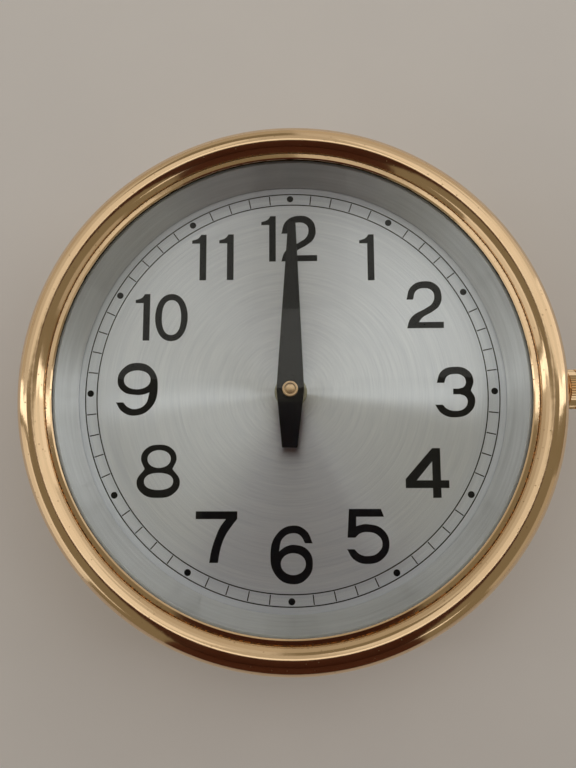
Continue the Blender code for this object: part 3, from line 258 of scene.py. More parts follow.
drum_profile = [(0.0, case_floor)]
drum_profile += arc((case_outer - case_wall - case_fillet, case_floor + case_fillet), case_fillet,
                    -90, 0, 5)
drum_profile += [(case_outer - case_wall, case_rim), (case_outer, case_rim)]
drum_profile += arc((case_outer + case_fillet, case_floor + case_fillet), case_fillet, 180, 270, 6)
drum_profile += [(flange_radius, case_floor), (flange_radius, 0.0), (0.0, 0.0)]
drum = soften(spin(drum_profile), flange_edge / 2, corner=50.0)
drum_drills = [rod(flange_hole, polar(flange_hole_circle, 90 + 120 * hole, -case_floor),
                   polar(flange_hole_circle, 90 + 120 * hole, 2 * case_floor))
               for hole in range(3)]
drum_drills.append(rod(cable_hole, (0, -case_outer + 4 * case_wall, cable_height),
                       (0, -case_outer - 4 * case_wall, cable_height)))
case_brass = spun_brass()
finish_piece(worked(drum, drum_drills), "case_drum_shell", "case", "brass", case_brass, "case_drum")


# Cable grommet and rim gasket: black rubber. The grommet is snapped into the drum's hole, and
# the gasket is a flat ring cut from sheet, laid on the rim where the bezel's shelf closes.
grommet_bore = 4.0
grommet_neck = 6.7
grommet_lip = 9.0
grommet_inner = -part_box("cable_grommet")[1].y / MM
grommet_outer = -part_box("cable_grommet")[0].y / MM
grommet_flange = 1.5
gasket_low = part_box("rim_gasket")[0].z / MM
gasket_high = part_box("rim_gasket")[1].z / MM
gasket_width = 2.0


def black_rubber():
    """Black rubber: nearly matt, with the fine grain of the sheet and a greyish bloom."""
    surface, place = new_surface("black_rubber", {"IOR": 1.52})
    grain = add_node(surface, "ShaderNodeTexNoise", {},
                     {"Vector": place, "Scale": 1 / (0.4 * MM), "Detail": 3.0})
    bloom = add_node(surface, "ShaderNodeTexNoise", {},
                     {"Vector": place, "Scale": 1 / (6 * MM), "Detail": 3.0}).outputs["Fac"]
    texture(surface, (bloom, colour("#161617"), colour("#2A2A2A")), (bloom, 0.55, 0.8),
            (grain.outputs["Fac"], 0.3, 0.05))
    return surface


def placed(form, place, turn=None):
    """Turn a shape about the origin and put it at a place in millimetres."""
    if turn is not None:
        bmesh.ops.transform(form, matrix=turn, verts=form.verts)
    bmesh.ops.translate(form, vec=Vector(place) * MM, verts=form.verts)
    return form


rubber = black_rubber()
case_inner = case_outer - case_wall
grommet = spin([(grommet_bore, grommet_outer), (grommet_lip, grommet_outer),
                (grommet_lip, grommet_outer - grommet_flange),
                (grommet_neck, grommet_outer - grommet_flange),
                (grommet_neck, grommet_inner + grommet_flange),
                (grommet_lip, grommet_inner + grommet_flange),
                (grommet_lip, grommet_inner), (grommet_bore, grommet_inner)], 48, closed=True)
placed(soften(grommet, 0.5, 3), (0, 0, cable_height), Matrix.Rotation(math.pi / 2, 4, "X"))
finish_piece(grommet, "cable_grommet_rubber", "case", "black_rubber", rubber, "cable_grommet")
gasket = flat_ring(case_inner, case_inner + gasket_width, gasket_low, gasket_high)
finish_piece(soften(gasket, 0.2), "rim_gasket_ring", "case", "black_rubber", rubber, "rim_gasket")


# Hinge at 9 o'clock: two leaves sawn and filed from brass bar, one screwed to the drum and one
# to the bezel's skirt, with interlocking knuckles on a steel pin that is peened at one end.
skirt_outer = 118.6
hinge_x = -122.0
hinge_height = dial_front + 1.0
knuckle_radius = 3.0
pin_radius = 1.5
pin_head = 2.4
pin_head_height = 1.2
bezel_knuckle_half = 6.0
leaf_half = 17.0
leaf_thickness = 2.3
leaf_gap = 0.3
leaf_root = 1.8                     # how far the bezel's leaf is let into its skirt
case_leaf_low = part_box("case_hinge_leaf")[0].z / MM
case_leaf_high = hinge_height - 1.5 * leaf_gap
bezel_leaf_low = hinge_height + knuckle_radius + 2 * leaf_gap
bezel_leaf_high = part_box("bezel_hinge_leaf")[1].z / MM
small_screw = (2.0, 1.2, 1.0, 0.5)  # head radius and height, shank radius, slot width


def block(low, high):
    """A block between two corners, in millimetres."""
    form = bmesh.new()
    low, high = Vector(low) * MM, Vector(high) * MM
    bmesh.ops.create_cube(form, size=1.0)
    bmesh.ops.scale(form, vec=high - low, verts=form.verts)
    bmesh.ops.translate(form, vec=(low + high) / 2, verts=form.verts)
    return form


def polished_brass(name, pits, crease_ring=0.0):
    """Polished, clear-lacquered brass: peach-gold, with hairline turning marks, faint ripples
    from the mop, cloudy patches in the lacquer, and a sprinkle of tiny dull pits where it has
    worn. A painted shade, dark brown and in specks, lies in the crease, where radius and height
    in mm add up to crease_ring."""
    surface, place = new_surface(name, {
        "Metallic": 1.0, "Coat Weight": 0.12, "Coat Roughness": 0.04, "Coat IOR": 1.5})
    rings = lathe_rings(surface, place)
    hairlines = add_node(surface, "ShaderNodeTexNoise", {"noise_dimensions": "1D"},
                         {"W": rings, "Scale": 1 / (0.35 * MM), "Detail": 4.0})
    clouds = add_node(surface, "ShaderNodeTexNoise", {},
                      {"Vector": place, "Scale": 1 / (18 * MM), "Detail": 3.0}).outputs["Fac"]
    specks = add_node(surface, "ShaderNodeTexVoronoi", {"feature": "F1"},
                      {"Vector": place, "Scale": 1 / (3.2 * MM), "Randomness": 1.0})
    pit = add_node(surface, "ShaderNodeMapRange", {},
                   {"Value": specks.outputs["Distance"], "From Min": 0.05, "From Max": 0.13,
                    "To Min": pits, "To Max": 0.0}).outputs["Result"]
    # painted shade in the crease: this noise breaks its edge into specks
    crease_shade_specks = add_node(surface, "ShaderNodeTexNoise", {},
                      {"Vector": place, "Scale": 1 / (0.8 * MM), "Detail": 2.0})
    reach = add_node(surface, "ShaderNodeMapRange", {},
                     {"Value": crease_shade_specks.outputs["Fac"], "From Min": 0.42, "From Max": 0.68,
                      "To Min": 0.15 * MM, "To Max": 1.3 * MM})
    # painted shade: the crease is coloured dark brown (#6A5430) and made duller
    painted_crease_shade = add_node(surface, "ShaderNodeMapRange", {},
                       {"Value": off_ring(surface, rings, crease_ring), "From Min": 0.1 * MM,
                        "From Max": reach.outputs["Result"], "To Min": 0.75,
                        "To Max": 0.0}).outputs["Result"]
    base = add_node(surface, "ShaderNodeMix", {"data_type": "RGBA"},
                    {0: clouds, MIX_A: colour("#E8C8A1"), MIX_B: colour("#F0D4B1")})
    pitted = add_node(surface, "ShaderNodeMix", {"data_type": "RGBA"},
                      {0: pit, MIX_A: base.outputs[MIX_COLOUR], MIX_B: colour("#8B6A3C")})
    crease_shaded = add_node(surface, "ShaderNodeMix", {"data_type": "RGBA"},
                     {0: painted_crease_shade, MIX_A: pitted.outputs[MIX_COLOUR], MIX_B: colour("#6A5430")})
    smooth = add_node(surface, "ShaderNodeMapRange", {},
                      {"Value": clouds, "To Min": 0.07, "To Max": 0.13})
    dull = add_node(surface, "ShaderNodeMath", {"operation": "MAXIMUM"}, {0: painted_crease_shade, 1: pit})
    rough = add_node(surface, "ShaderNodeMath", {"operation": "MULTIPLY_ADD"},
                     {0: dull.outputs["Value"], 1: 0.4, 2: smooth.outputs["Result"]})
    lines = add_node(surface, "ShaderNodeBump", {},
                     {"Height": hairlines.outputs["Fac"], "Strength": 0.2,
                      "Distance": 0.01 * MM})
    ripples = add_node(surface, "ShaderNodeTexNoise", {},
                       {"Vector": place, "Scale": 1 / (5 * MM), "Detail": 1.0})
    bump = add_node(surface, "ShaderNodeBump", {},
                    {"Height": ripples.outputs["Fac"], "Strength": 1.0, "Distance": 0.02 * MM,
                     "Normal": lines.outputs["Normal"]})
    feed(surface, base=crease_shaded.outputs[MIX_COLOUR], rough=rough.outputs["Value"],
         normal=bump.outputs["Normal"])
    return surface


def bright_steel():
    """Turned bright steel, zinc grey, with short irregular machining streaks."""
    surface, place = new_surface("bright_turned_steel", {"Metallic": 1.0, "Anisotropic": 0.3})
    rings = lathe_rings(surface, place)
    streaks = add_node(surface, "ShaderNodeTexNoise", {"noise_dimensions": "1D"},
                       {"W": rings, "Scale": 1 / (0.2 * MM), "Detail": 3.0}).outputs["Fac"]
    stains = add_node(surface, "ShaderNodeTexNoise", {},
                      {"Vector": place, "Scale": 1 / (3 * MM), "Detail": 4.0})
    texture(surface, (stains.outputs["Fac"], colour("#8F9091"), colour("#C2C3C3")),
            (streaks, 0.22, 0.42), (streaks, 0.2, 0.02))
    return surface


def slotted_screw(node, body, sizes, towards, turn):
    """A turned screw in its packed place, with its head in a direction. The head is chamfered,
    and slotted half through."""
    head_radius, head_height, shank_radius, slot_width = sizes
    low, high = (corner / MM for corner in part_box(node))
    half_length = abs((high - low).dot(Vector(towards))) / 2
    shank = 2 * half_length - head_height
    form = spin([(0, head_height), (head_radius * 0.95, head_height),
                 (head_radius, head_height * 0.8), (head_radius, 0), (shank_radius, 0),
                 (shank_radius, -shank), (0, -shank)], 40)
    sawn = worked(form, [block((-2 * head_radius, -slot_width / 2, head_height * 0.45),
                               (2 * head_radius, slot_width / 2, 2 * head_height))])
    placed(soften(sawn, 0.08, corner=60.0),
           (low + high) / 2 + Vector(towards) * (half_length - head_height), turn)
    finish_piece(sawn, node + "_slotted", body, "steel", steel, node)


bright_brass = polished_brass("polished_brass", 0.0)
steel = bright_steel()
hinge_bore = (hinge_x, -2 * leaf_half, hinge_height), (hinge_x, 2 * leaf_half, hinge_height)
case_leaf_face = -(case_outer + leaf_thickness)
case_leaf = block((case_leaf_face, -leaf_half, case_leaf_low),
                  (-case_inner, leaf_half, case_leaf_high))
case_leaf_extras = []
for end in (-1, 1):
    span = sorted((end * (bezel_knuckle_half + leaf_gap), end * leaf_half))
    case_leaf_extras.append(rod(knuckle_radius, (hinge_x, span[0], hinge_height),
                                (hinge_x, span[1], hinge_height)))
    case_leaf_extras.append(block((hinge_x, span[0], hinge_height - knuckle_radius + leaf_gap / 2),
                                  (case_leaf_face + leaf_thickness / 2, span[1],
                                   hinge_height - 2 * leaf_gap)))
case_leaf = worked(case_leaf, case_leaf_extras, "UNION")
case_leaf = worked(case_leaf, [
    rod(case_outer + leaf_gap / 2, (0, 0, 0), (0, 0, 2 * dial_front), around),
    rod(pin_radius + leaf_gap, *hinge_bore)])
finish_piece(soften(case_leaf, 0.25, corner=50.0), "case_leaf_brass", "case", "brass", case_brass,
             "case_hinge_leaf")

bezel_leaf_face = -(skirt_outer + leaf_gap + leaf_thickness)
bezel_leaf = block((bezel_leaf_face, -leaf_half, bezel_leaf_low),
                   (-skirt_outer + leaf_root, leaf_half, bezel_leaf_high))
bezel_leaf = worked(bezel_leaf, [
    rod(knuckle_radius, (hinge_x, -bezel_knuckle_half, hinge_height),
        (hinge_x, bezel_knuckle_half, hinge_height)),
    block((hinge_x, -bezel_knuckle_half, hinge_height),
          (-skirt_outer + leaf_root, bezel_knuckle_half, bezel_leaf_low + leaf_gap))], "UNION")
bezel_leaf = worked(bezel_leaf, [
    rod(skirt_outer + leaf_gap / 2, (0, 0, 0), (0, 0, 2 * dial_front), around),
    rod(pin_radius + leaf_gap, *hinge_bore)])
finish_piece(soften(bezel_leaf, 0.25, corner=50.0), "bezel_leaf_brass", "bezel", "polished_brass",
             bright_brass, "bezel_hinge_leaf")

pin_low, pin_high = (corner.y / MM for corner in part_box("hinge_pin"))
pin = spin([(0, pin_high), (pin_radius, pin_high), (pin_head, pin_high - pin_head_height / 2),
            (pin_head, pin_high - pin_head_height), (pin_radius, pin_high - pin_head_height),
            (pin_radius, pin_low), (0, pin_low)], 40)
placed(soften(pin, 0.15), (hinge_x, 0, hinge_height), Matrix.Rotation(-math.pi / 2, 4, "X"))
finish_piece(pin, "hinge_pin_steel", "case", "steel", steel, "hinge_pin")

for number in (1, 2):
    for owner in ("case", "bezel"):
        slotted_screw(f"{owner}_hinge_screw_{number}", owner, small_screw, (-1, 0, 0),
                      Matrix.Rotation(-math.pi / 2, 4, "Y"))


# Movement: two lapped brass plates on four pillars, with cut brass wheels, steel arbors, a
# laminated stator and its coil. It hangs behind the dial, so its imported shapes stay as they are.
def dress(surface, *names):
    """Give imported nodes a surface."""
    for name in names:
        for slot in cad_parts[name].material_slots:
            slot.material = surface


def mottled(name, constants, pale, dark, size, rough_low, rough_high, bump_height):
    """A surface whose colour, shine and relief follow one cloudy noise of a size in mm."""
    surface, place = new_surface(name, constants)
    clouds = add_node(surface, "ShaderNodeTexNoise", {},
                      {"Vector": place, "Scale": 1 / (size * MM), "Detail": 5.0}).outputs["Fac"]
    texture(surface, (clouds, colour(dark), colour(pale)), (clouds, rough_low, rough_high),
            (clouds, 0.3, bump_height))
    return surface


def striped(name, constants, pale, dark, axis, pitch, bump_height):
    """A surface of fine parallel layers or turns across one axis, pitch in mm."""
    surface, place = new_surface(name, constants)
    turns = add_node(surface, "ShaderNodeTexWave",
                     {"wave_type": "BANDS", "bands_direction": axis, "wave_profile": "SIN"},
                     {"Vector": place, "Scale": math.tau / (20 * pitch * MM), "Distortion": 0.3,
                      "Detail Scale": 1 / (5 * MM)}).outputs["Fac"]
    texture(surface, (turns, colour(dark), colour(pale)), (turns, 0.45, 0.3),
            (turns, 0.6, bump_height))
    return surface


# Lapped brass sheet has a soft cloudy grain; cut wheels are brighter.
plate_brass = mottled("lapped_plate_brass", {"Metallic": 1.0}, "#CDAA6C", "#B38E52", 4.0, 0.25,
                      0.42, 0.01)
wheel_brass = mottled("cut_wheel_brass", {"Metallic": 1.0}, "#DDBB7C", "#C7A260", 1.5, 0.18,
                      0.32, 0.01)
# Ferrite is a dark grey ceramic, ground dull; nylon is a milky moulded plastic.
ferrite = mottled("ground_ferrite", {"IOR": 1.9}, "#4A4A4D", "#2F2F32", 0.6, 0.4, 0.6, 0.02)
nylon = mottled("moulded_nylon", {"IOR": 1.53, "Subsurface Weight": 0.1}, "#E4DFD2", "#D3CDBE",
                5.0, 0.4, 0.55, 0.02)
# The terminal block is black moulded phenolic, with a faint swirl from the mould.
phenolic = mottled("moulded_phenolic", {"IOR": 1.6}, "#2B2A2A", "#181717", 3.0, 0.35, 0.55, 0.03)
# The stator is a stack of 0.5 mm steel stampings; the coil shows turns of 0.3 mm enamelled wire.
laminations = striped("stator_laminations", {"Metallic": 1.0}, "#A9AAAB", "#6E6F71", "Z", 0.5, 0.05)
copper_wire = striped("enamelled_copper_winding", {"Metallic": 1.0, "Coat Weight": 0.6},
                      "#B4622F", "#6A2F16", "X", 0.3, 0.08)
dress(plate_brass, "movement_front_plate", "movement_back_plate",
      *(f"movement_pillar_{number}" for number in range(1, 5)),
      *(f"dial_pillar_{number}" for number in range(1, 5)))
dress(wheel_brass, "centre_wheel", "cannon_pinion", "hour_wheel", "minute_wheel",
      "terminal_screw_1", "terminal_screw_2")
dress(steel, "step_wheel", "rotor_arbor", *(f"movement_screw_{number}" for number in range(1, 5)))
dress(ferrite, "rotor_magnet")
dress(nylon, "coil_bobbin")
dress(phenolic, "terminal_block")
dress(laminations, "stator_core")
dress(copper_wire, "coil_winding")


# Dial plate: 1.2 mm aluminium sheet, its face spun with fine abrasive so that the marks run in
# rings, then clear-lacquered. The marks throw the light into a bright bar through the middle.
dial_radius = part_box("dial_plate")[1].y / MM
dial_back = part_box("dial_plate")[0].z / MM
dial_bore = 5.5


def spun_aluminium(name, pale, dark, rough_low, rough_high, streak):
    """Aluminium finished in rings under clear lacquer. The shine is stretched across the rings.
    The marks are arcs that fade in and out, drawn wider than life so that they show. Their noise
    is read on a drum whose height is the ring and whose side is the way round it."""
    surface, place = new_surface(name, {
        "Metallic": 1.0, "Anisotropic": streak, "Anisotropic Rotation": 0.25,
        "Coat Weight": 0.1, "Coat Roughness": 0.3})
    flat = add_node(surface, "ShaderNodeVectorMath", {"operation": "MULTIPLY"},
                    {0: place, 1: (1.0, 1.0, 0.0)}).outputs["Vector"]
    radius = add_node(surface, "ShaderNodeVectorMath", {"operation": "LENGTH"}, {0: flat})
    way = add_node(surface, "ShaderNodeVectorMath", {"operation": "NORMALIZE"}, {0: flat})
    outwards = add_node(surface, "ShaderNodeCombineXYZ", {}, {"Z": radius.outputs["Value"]})
    marks = []
    for arcs_a_turn, pitch in ((24, 0.4), (9, 1.2)):
        ring_drum = add_node(surface, "ShaderNodeVectorMath", {"operation": "MULTIPLY_ADD"},
                             {0: outwards.outputs["Vector"], 1: (0.0, 0.0, 1 / (pitch * MM)),
                              2: way.outputs["Vector"]})
        long_arcs = add_node(surface, "ShaderNodeMapping", {},
                             {"Vector": ring_drum.outputs["Vector"],
                              "Scale": (arcs_a_turn / math.tau, arcs_a_turn / math.tau, 1.0)})
        marks.append(add_node(surface, "ShaderNodeTexNoise", {},
                              {"Vector": long_arcs.outputs["Vector"], "Scale": 1.0,
                               "Detail": 2.0}).outputs["Fac"])
    fine, coarse = marks
    both = add_node(surface, "ShaderNodeMath", {"operation": "ADD"}, {0: fine, 1: coarse})
    depth = add_node(surface, "ShaderNodeMapRange", {},
                     {"Value": both.outputs["Value"], "From Min": 0.6,
                      "From Max": 1.4}).outputs["Result"]
    around_axis = add_node(surface, "ShaderNodeTangent",
                           {"direction_type": "RADIAL", "axis": "Z"}, {})
    texture(surface, (depth, colour(pale), colour(dark)), (coarse, rough_low, rough_high),
            (depth, 0.15, 0.03), tangent=around_axis.outputs["Tangent"])
    return surface


dial = flat_ring(dial_bore, dial_radius, dial_back, dial_front)
dial_surface = spun_aluminium("spun_dial_aluminium", "#EFF3FD", "#DDE2EF", 0.3, 0.35, 1.0)
finish_piece(soften(dial, 0.1), "dial_face", "case", "brushed_dial", dial_surface, "dial_plate")


# Minute track: two thin circles with a tick for each minute between them, and a dot for each
# hour. It is screen-printed in black ink, drawn here as a film that stands just off the metal.
ink_low = dial_front + 0.02
ink_high = dial_front + 0.06
track_outer = 96.85
track_inner = 91.45
track_line = 0.5
dot_circle = 94.5
dot_radius = 1.55


def gather(form, other):
    """Add a shape to a form that collects several."""
    mesh = bpy.data.meshes.new("gathered")
    other.to_mesh(mesh)
    other.free()
    form.from_mesh(mesh)
    bpy.data.meshes.remove(mesh)


# The ink is a soft, slightly glossy black, a little uneven where it lies thin.
ink = mottled("screen_printed_black", {"IOR": 1.48, "Specular IOR Level": 0.12}, "#0E1117",
              "#06070B", 2.5, 0.35, 0.55, 0.0)
track = bmesh.new()
for radius in (track_inner, track_outer):
    gather(track, flat_ring(radius - track_line / 2, radius + track_line / 2, ink_low, ink_high))
for minute in range(60):
    angle = 90 - 6 * minute
    if minute % 5:
        tick = block((track_inner + track_line, -track_line / 2, ink_low),
                     (track_outer - track_line, track_line / 2, ink_high))
        gather(track, placed(tick, (0, 0, 0), Matrix.Rotation(math.radians(angle), 4, "Z")))
    else:
        gather(track, rod(dot_radius, polar(dot_circle, angle, ink_low),
                          polar(dot_circle, angle, ink_high), 32))
bmesh.ops.recalc_face_normals(track, faces=track.faces)
finish_piece(track, "minute_track", "case", "hand_paint", ink)


# Numerals 1 to 12: plain upright grotesque figures about 23 mm tall, screen-printed with the
# track. Each outline is drawn once, as points that are corners or lie on a round stretch.
C, R = "VECTOR", "AUTO"             # a corner, or a point on a round stretch
numeral_outlines = {
    "0": [[(0, 11.5, R), (7.8, 23, R), (15.65, 11.5, R), (7.8, 0, R)],
          [(3.2, 11.5, R), (7.8, 20, R), (12.45, 11.5, R), (7.8, 3, R)]],
    "1": [[(-1.6, 0, C), (1.6, 0, C), (1.6, 22.7, C), (-1.0, 22.7, C), (-2.4, 20.9, R),
           (-5.4, 19.8, C), (-5.4, 18.3, C), (-1.6, 18.3, C)]],
    "2": [[(0, 0, C), (17.2, 0, C), (17.2, 2.95, C), (5.6, 2.95, C), (7.1, 4.9, R), (12.5, 8.2, R),
           (15.4, 10.8, R), (16.55, 15.8, R), (14.3, 20.9, R), (8.5, 22.7, R), (2.2, 20, R),
           (0, 13.85, C), (3.1, 13.85, C), (4.6, 18, R), (8.5, 19.35, R), (12.0, 18.2, R),
           (13.1, 15.6, R), (12.1, 12, R), (9, 9.6, R), (3.3, 6.4, R), (1.3, 4.1, R)]],
    "3": [[(0, 5.9, C), (3, 1.7, R), (9, 0, R), (15.9, 2.3, R), (18.5, 8.2, R), (16.7, 12.5, C),
           (18, 17.3, R), (15.7, 21.9, R), (9.5, 23.6, R), (3.4, 21.6, R), (1, 16.1, C),
           (4.5, 16.1, C), (5.9, 19.1, R), (9.4, 20.2, R), (13, 19.4, R), (14.5, 17.1, R),
           (13.7, 14.4, R), (11.2, 13.35, C), (8.5, 13.35, C), (8.5, 10.7, C), (11.6, 10.7, C),
           (14.1, 9.6, R), (15, 7.1, R), (13.2, 4, R), (9.1, 3.0, R), (5.4, 4, R), (3.5, 5.9, C)]],
    "4": [[(0, 4.4, C), (12.3, 4.4, C), (12.3, 0, C), (16.1, 0, C), (16.1, 4.4, C), (19.8, 4.4, C),
           (19.8, 7.9, C), (16.1, 7.9, C), (16.1, 22.5, C), (12.45, 22.5, C), (0, 8.5, C)],
          [(5.1, 7.9, C), (12.3, 7.9, C), (12.3, 16.5, C)]],
    "5": [[(0, 6.5, C), (3.1, 1.9, R), (9.3, 0, R), (16.4, 2.6, R), (19.15, 8.9, R), (16.4, 15.2, R),
           (9.4, 17.6, R), (6.3, 17.3, R), (4.3, 16.7, C), (4.4, 20.9, C), (17, 20.9, C),
           (15.65, 24.4, C), (1.1, 24.4, C), (0.3, 11.6, C), (3.8, 11.6, C), (5.9, 13.4, R),
           (9.3, 14.1, R), (14.2, 12.5, R), (16, 8.9, R), (14.1, 5.1, R), (9.3, 3.5, R),
           (5.6, 4.4, R), (3.3, 6.5, C)]],
    "6": [[(19.2, 18, C), (16.3, 23.6, R), (10.1, 25.9, R), (3, 22.2, R), (0, 13.2, R), (2.7, 3.5, R),
           (10.1, 0, R), (16.6, 2.6, R), (19.2, 9.1, R), (17, 15, R), (11.2, 17.3, R),
           (7.1, 16.6, R), (3.85, 14.4, C), (5.6, 20.2, R), (10.4, 22.5, R), (13.7, 21.3, R),
           (15.7, 18, C)],
          [(4.7, 9, R), (10.3, 13.65, R), (16, 9, R), (10.3, 4, R)]],
    "7": [[(0, 19.5, C), (0, 23, C), (19.1, 23, C), (19.1, 19.6, C), (16.9, 16.8, R),
           (13.8, 12.2, R), (11.8, 7.2, R), (10.4, 0, C), (6.4, 0, C), (7.5, 6, R), (9.1, 11, R),
           (11.3, 16, R), (13.9, 19.5, C)]],
    "8": [[(10.05, 0, R), (17.4, 2, R), (20.1, 7.4, R), (16.6, 13.2, C), (18.4, 18.4, R),
           (16, 22.7, R), (10.1, 24.4, R), (4.2, 22.7, R), (1.8, 18.4, R), (3.6, 13.2, C),
           (0, 7.4, R), (2.7, 2, R)],
          [(4.8, 17.8, R), (10.2, 21.9, R), (15.7, 17.8, R), (10.2, 13.7, R)],
          [(3.4, 7.5, R), (10.2, 11.4, R), (17, 7.5, R), (10.2, 3.6, R)]],
    "9": [[(0, 6.25, C), (3.1, 1.9, R), (9.3, 0, R), (16.6, 3.6, R), (19.65, 13.2, R),
           (17, 21.9, R), (9.9, 25, R), (3.1, 22.5, R), (0.5, 16.6, R), (3, 11.6, R),
           (9.3, 9.75, R), (13, 9.95, R), (15.8, 10.9, C), (13.9, 5.3, R), (9.3, 3.1, R),
           (5.6, 4.1, R), (3.5, 6.25, C)],
          [(3.5, 16.9, R), (9.9, 21.4, R), (16.15, 16.9, R), (9.9, 12.4, R)]],
}
numeral_places = {                  # each hour's figures, and where their outlines start
    "1": [("1", 38.55, 53.5)], "2": [("2", 55.0, 30.0)], "3": [("3", 66.9, -12.1)],
    "4": [("4", 52.3, -48.7)], "5": [("5", 25.1, -78.0)], "6": [("6", -9.6, -86.9)],
    "7": [("7", -43.9, -77.6)], "8": [("8", -71.6, -48.5)], "9": [("9", -82.4, -10.5)],
    "10": [("1", -68.9, 25.2), ("0", -64.75, 24.8)],
    "11": [("1", -42.15, 54.4), ("1", -28.95, 54.4)],
    "12": [("1", -8.6, 63.3), ("2", -4.3, 63.3)],
}


def flat_shape(outlines, bottom, top):
    """Closed outlines of corners and round points, filled and given a thickness."""
    curve = bpy.data.curves.new("outline", "CURVE")
    curve.dimensions = "2D"
    curve.fill_mode = "BOTH"
    curve.extrude = (top - bottom) / 2 * MM
    curve.resolution_u = 10
    for outline in outlines:
        spline = curve.splines.new("BEZIER")
        spline.bezier_points.add(len(outline) - 1)
        for point, (x, y, kind) in zip(spline.bezier_points, outline):
            point.co = (x * MM, y * MM, 0.0)
            point.handle_left_type = kind
            point.handle_right_type = kind
        spline.use_cyclic_u = True
    guide = bpy.data.objects.new("outline", curve)
    bpy.context.scene.collection.objects.link(guide)
    mesh = bpy.data.meshes.new_from_object(
        guide.evaluated_get(bpy.context.evaluated_depsgraph_get()))
    form = bmesh.new()
    form.from_mesh(mesh)
    bmesh.ops.remove_doubles(form, verts=form.verts, dist=0.001 * MM)
    bmesh.ops.translate(form, vec=(0, 0, (bottom + top) / 2 * MM), verts=form.verts)
    bmesh.ops.recalc_face_normals(form, faces=form.faces)
    bpy.data.objects.remove(guide)
    bpy.data.meshes.remove(mesh)
    return form


for hour, figures in numeral_places.items():
    numeral = bmesh.new()
    for figure, x, y in figures:
        gather(numeral, placed(flat_shape(numeral_outlines[figure], ink_low, ink_high), (x, y, 0)))
    finish_piece(numeral, "numeral_" + hour, "case", "hand_paint", ink)


# Dial ring: a flared aluminium band spun to shape, with a turned-out foot that lies on the dial
# and is held with it by four slotted screws into pillars. Its inner face is brushed round.
ring_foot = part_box("dial_ring")[0].z / MM
ring_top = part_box("dial_ring")[1].z / MM
sight_radius = 99.9
ring_flare = 4.0
ring_wall = 1.4
ring_foot_thickness = 1.5
dial_screw = (2.7, 1.8, 1.5, 0.7)
ring_surface = spun_aluminium("spun_ring_aluminium", "#EFF0F3", "#DADBDE", 0.4, 0.45, 0.95)
dial_ring = spin([(sight_radius, ring_foot), (sight_radius + ring_flare, ring_top),
                  (sight_radius + ring_flare + ring_wall, ring_top),
                  (sight_radius + ring_wall, ring_foot + ring_foot_thickness),
                  (dial_radius, ring_foot + ring_foot_thickness), (dial_radius, ring_foot)],
                 closed=True)
finish_piece(soften(dial_ring, 0.3), "dial_ring_band", "case", "brushed_ring", ring_surface,
             "dial_ring")
for number in range(1, 5):
    slotted_screw(f"dial_screw_{number}", "case", dial_screw, (0, 0, 1),
                  Matrix.Rotation(math.radians(20 + 65 * number), 4, "Z"))


# Ring nut: turned brass with a chamfered edge, screwed down the movement's bush onto the dial.
# It has dulled to a greyish straw colour.
nut_low, nut_high = (corner.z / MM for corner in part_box("dial_nut"))
nut_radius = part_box("dial_nut")[1].x / MM
nut_chamfer = 0.5
nut = spin([(dial_bore, nut_high), (nut_radius - nut_chamfer, nut_high),
            (nut_radius, nut_high - nut_chamfer), (nut_radius, nut_low), (dial_bore, nut_low)],
           96, closed=True)
dulled_brass = mottled("dulled_turned_brass", {"Metallic": 1.0}, "#B9B5A2", "#8E8A78", 1.2, 0.28,
                       0.42, 0.01)
finish_piece(soften(nut, 0.12), "dial_ring_nut", "case", "polished_brass", dulled_brass, "dial_nut")


# Hands: two tapering blades stamped from 1 mm brass, painted gloss black, each riveted to a
# turned brass collet that grips its pipe. Both point to twelve, so the long one hides the short.
minute_length = 77.7
minute_tail = 25.8
minute_hub = 12.3
minute_tip = 3.4
minute_tail_width = 6.8
minute_lean = math.radians(-0.75)
hour_length = 52.0
hour_tail = 12.0
hour_hub = 10.0
hour_tip = 4.6
hour_tail_width = 8.4
hand_bores = {"minute": 2.5, "hour": 3.6}


def hand_paint():
    """Black stoving paint on brass: glossy, so that it greys where it mirrors the ceiling, with
    a fine orange peel and a haze of dust that lies thicker in some places."""
    surface, place = new_surface("glossy_black_paint", {
        "IOR": 1.5, "Specular IOR Level": 0.22, "Coat Weight": 0.05, "Coat Roughness": 0.1})
    peel = add_node(surface, "ShaderNodeTexNoise", {},
                    {"Vector": place, "Scale": 1 / (0.8 * MM), "Detail": 2.0})
    dust = add_node(surface, "ShaderNodeTexNoise", {},
                    {"Vector": place, "Scale": 1 / (12 * MM), "Detail": 5.0}).outputs["Fac"]
    texture(surface, (dust, colour("#06070A"), colour("#0E1016")), (dust, 0.14, 0.24),
            (peel.outputs["Fac"], 0.15, 0.03))
    return surface


def blade(length, tail, hub, tip, tail_width, bore, bottom, top):
    """A hand: a flat blade that tapers both ways from its hub, with a bore."""
    outline = [(-tail_width / 2, -tail, C), (tail_width / 2, -tail, C), (hub / 2, 0, C),
               (tip / 2, length, C), (-tip / 2, length, C), (-hub / 2, 0, C)]
    form = worked(flat_shape([outline], bottom, top),
                  [rod(bore, (0, 0, bottom - 1), (0, 0, top + 1))])
    bmesh.ops.dissolve_limit(form, angle_limit=math.radians(1), verts=form.verts, edges=form.edges)
    return soften(form, 0.18, segments=3, corner=60.0)


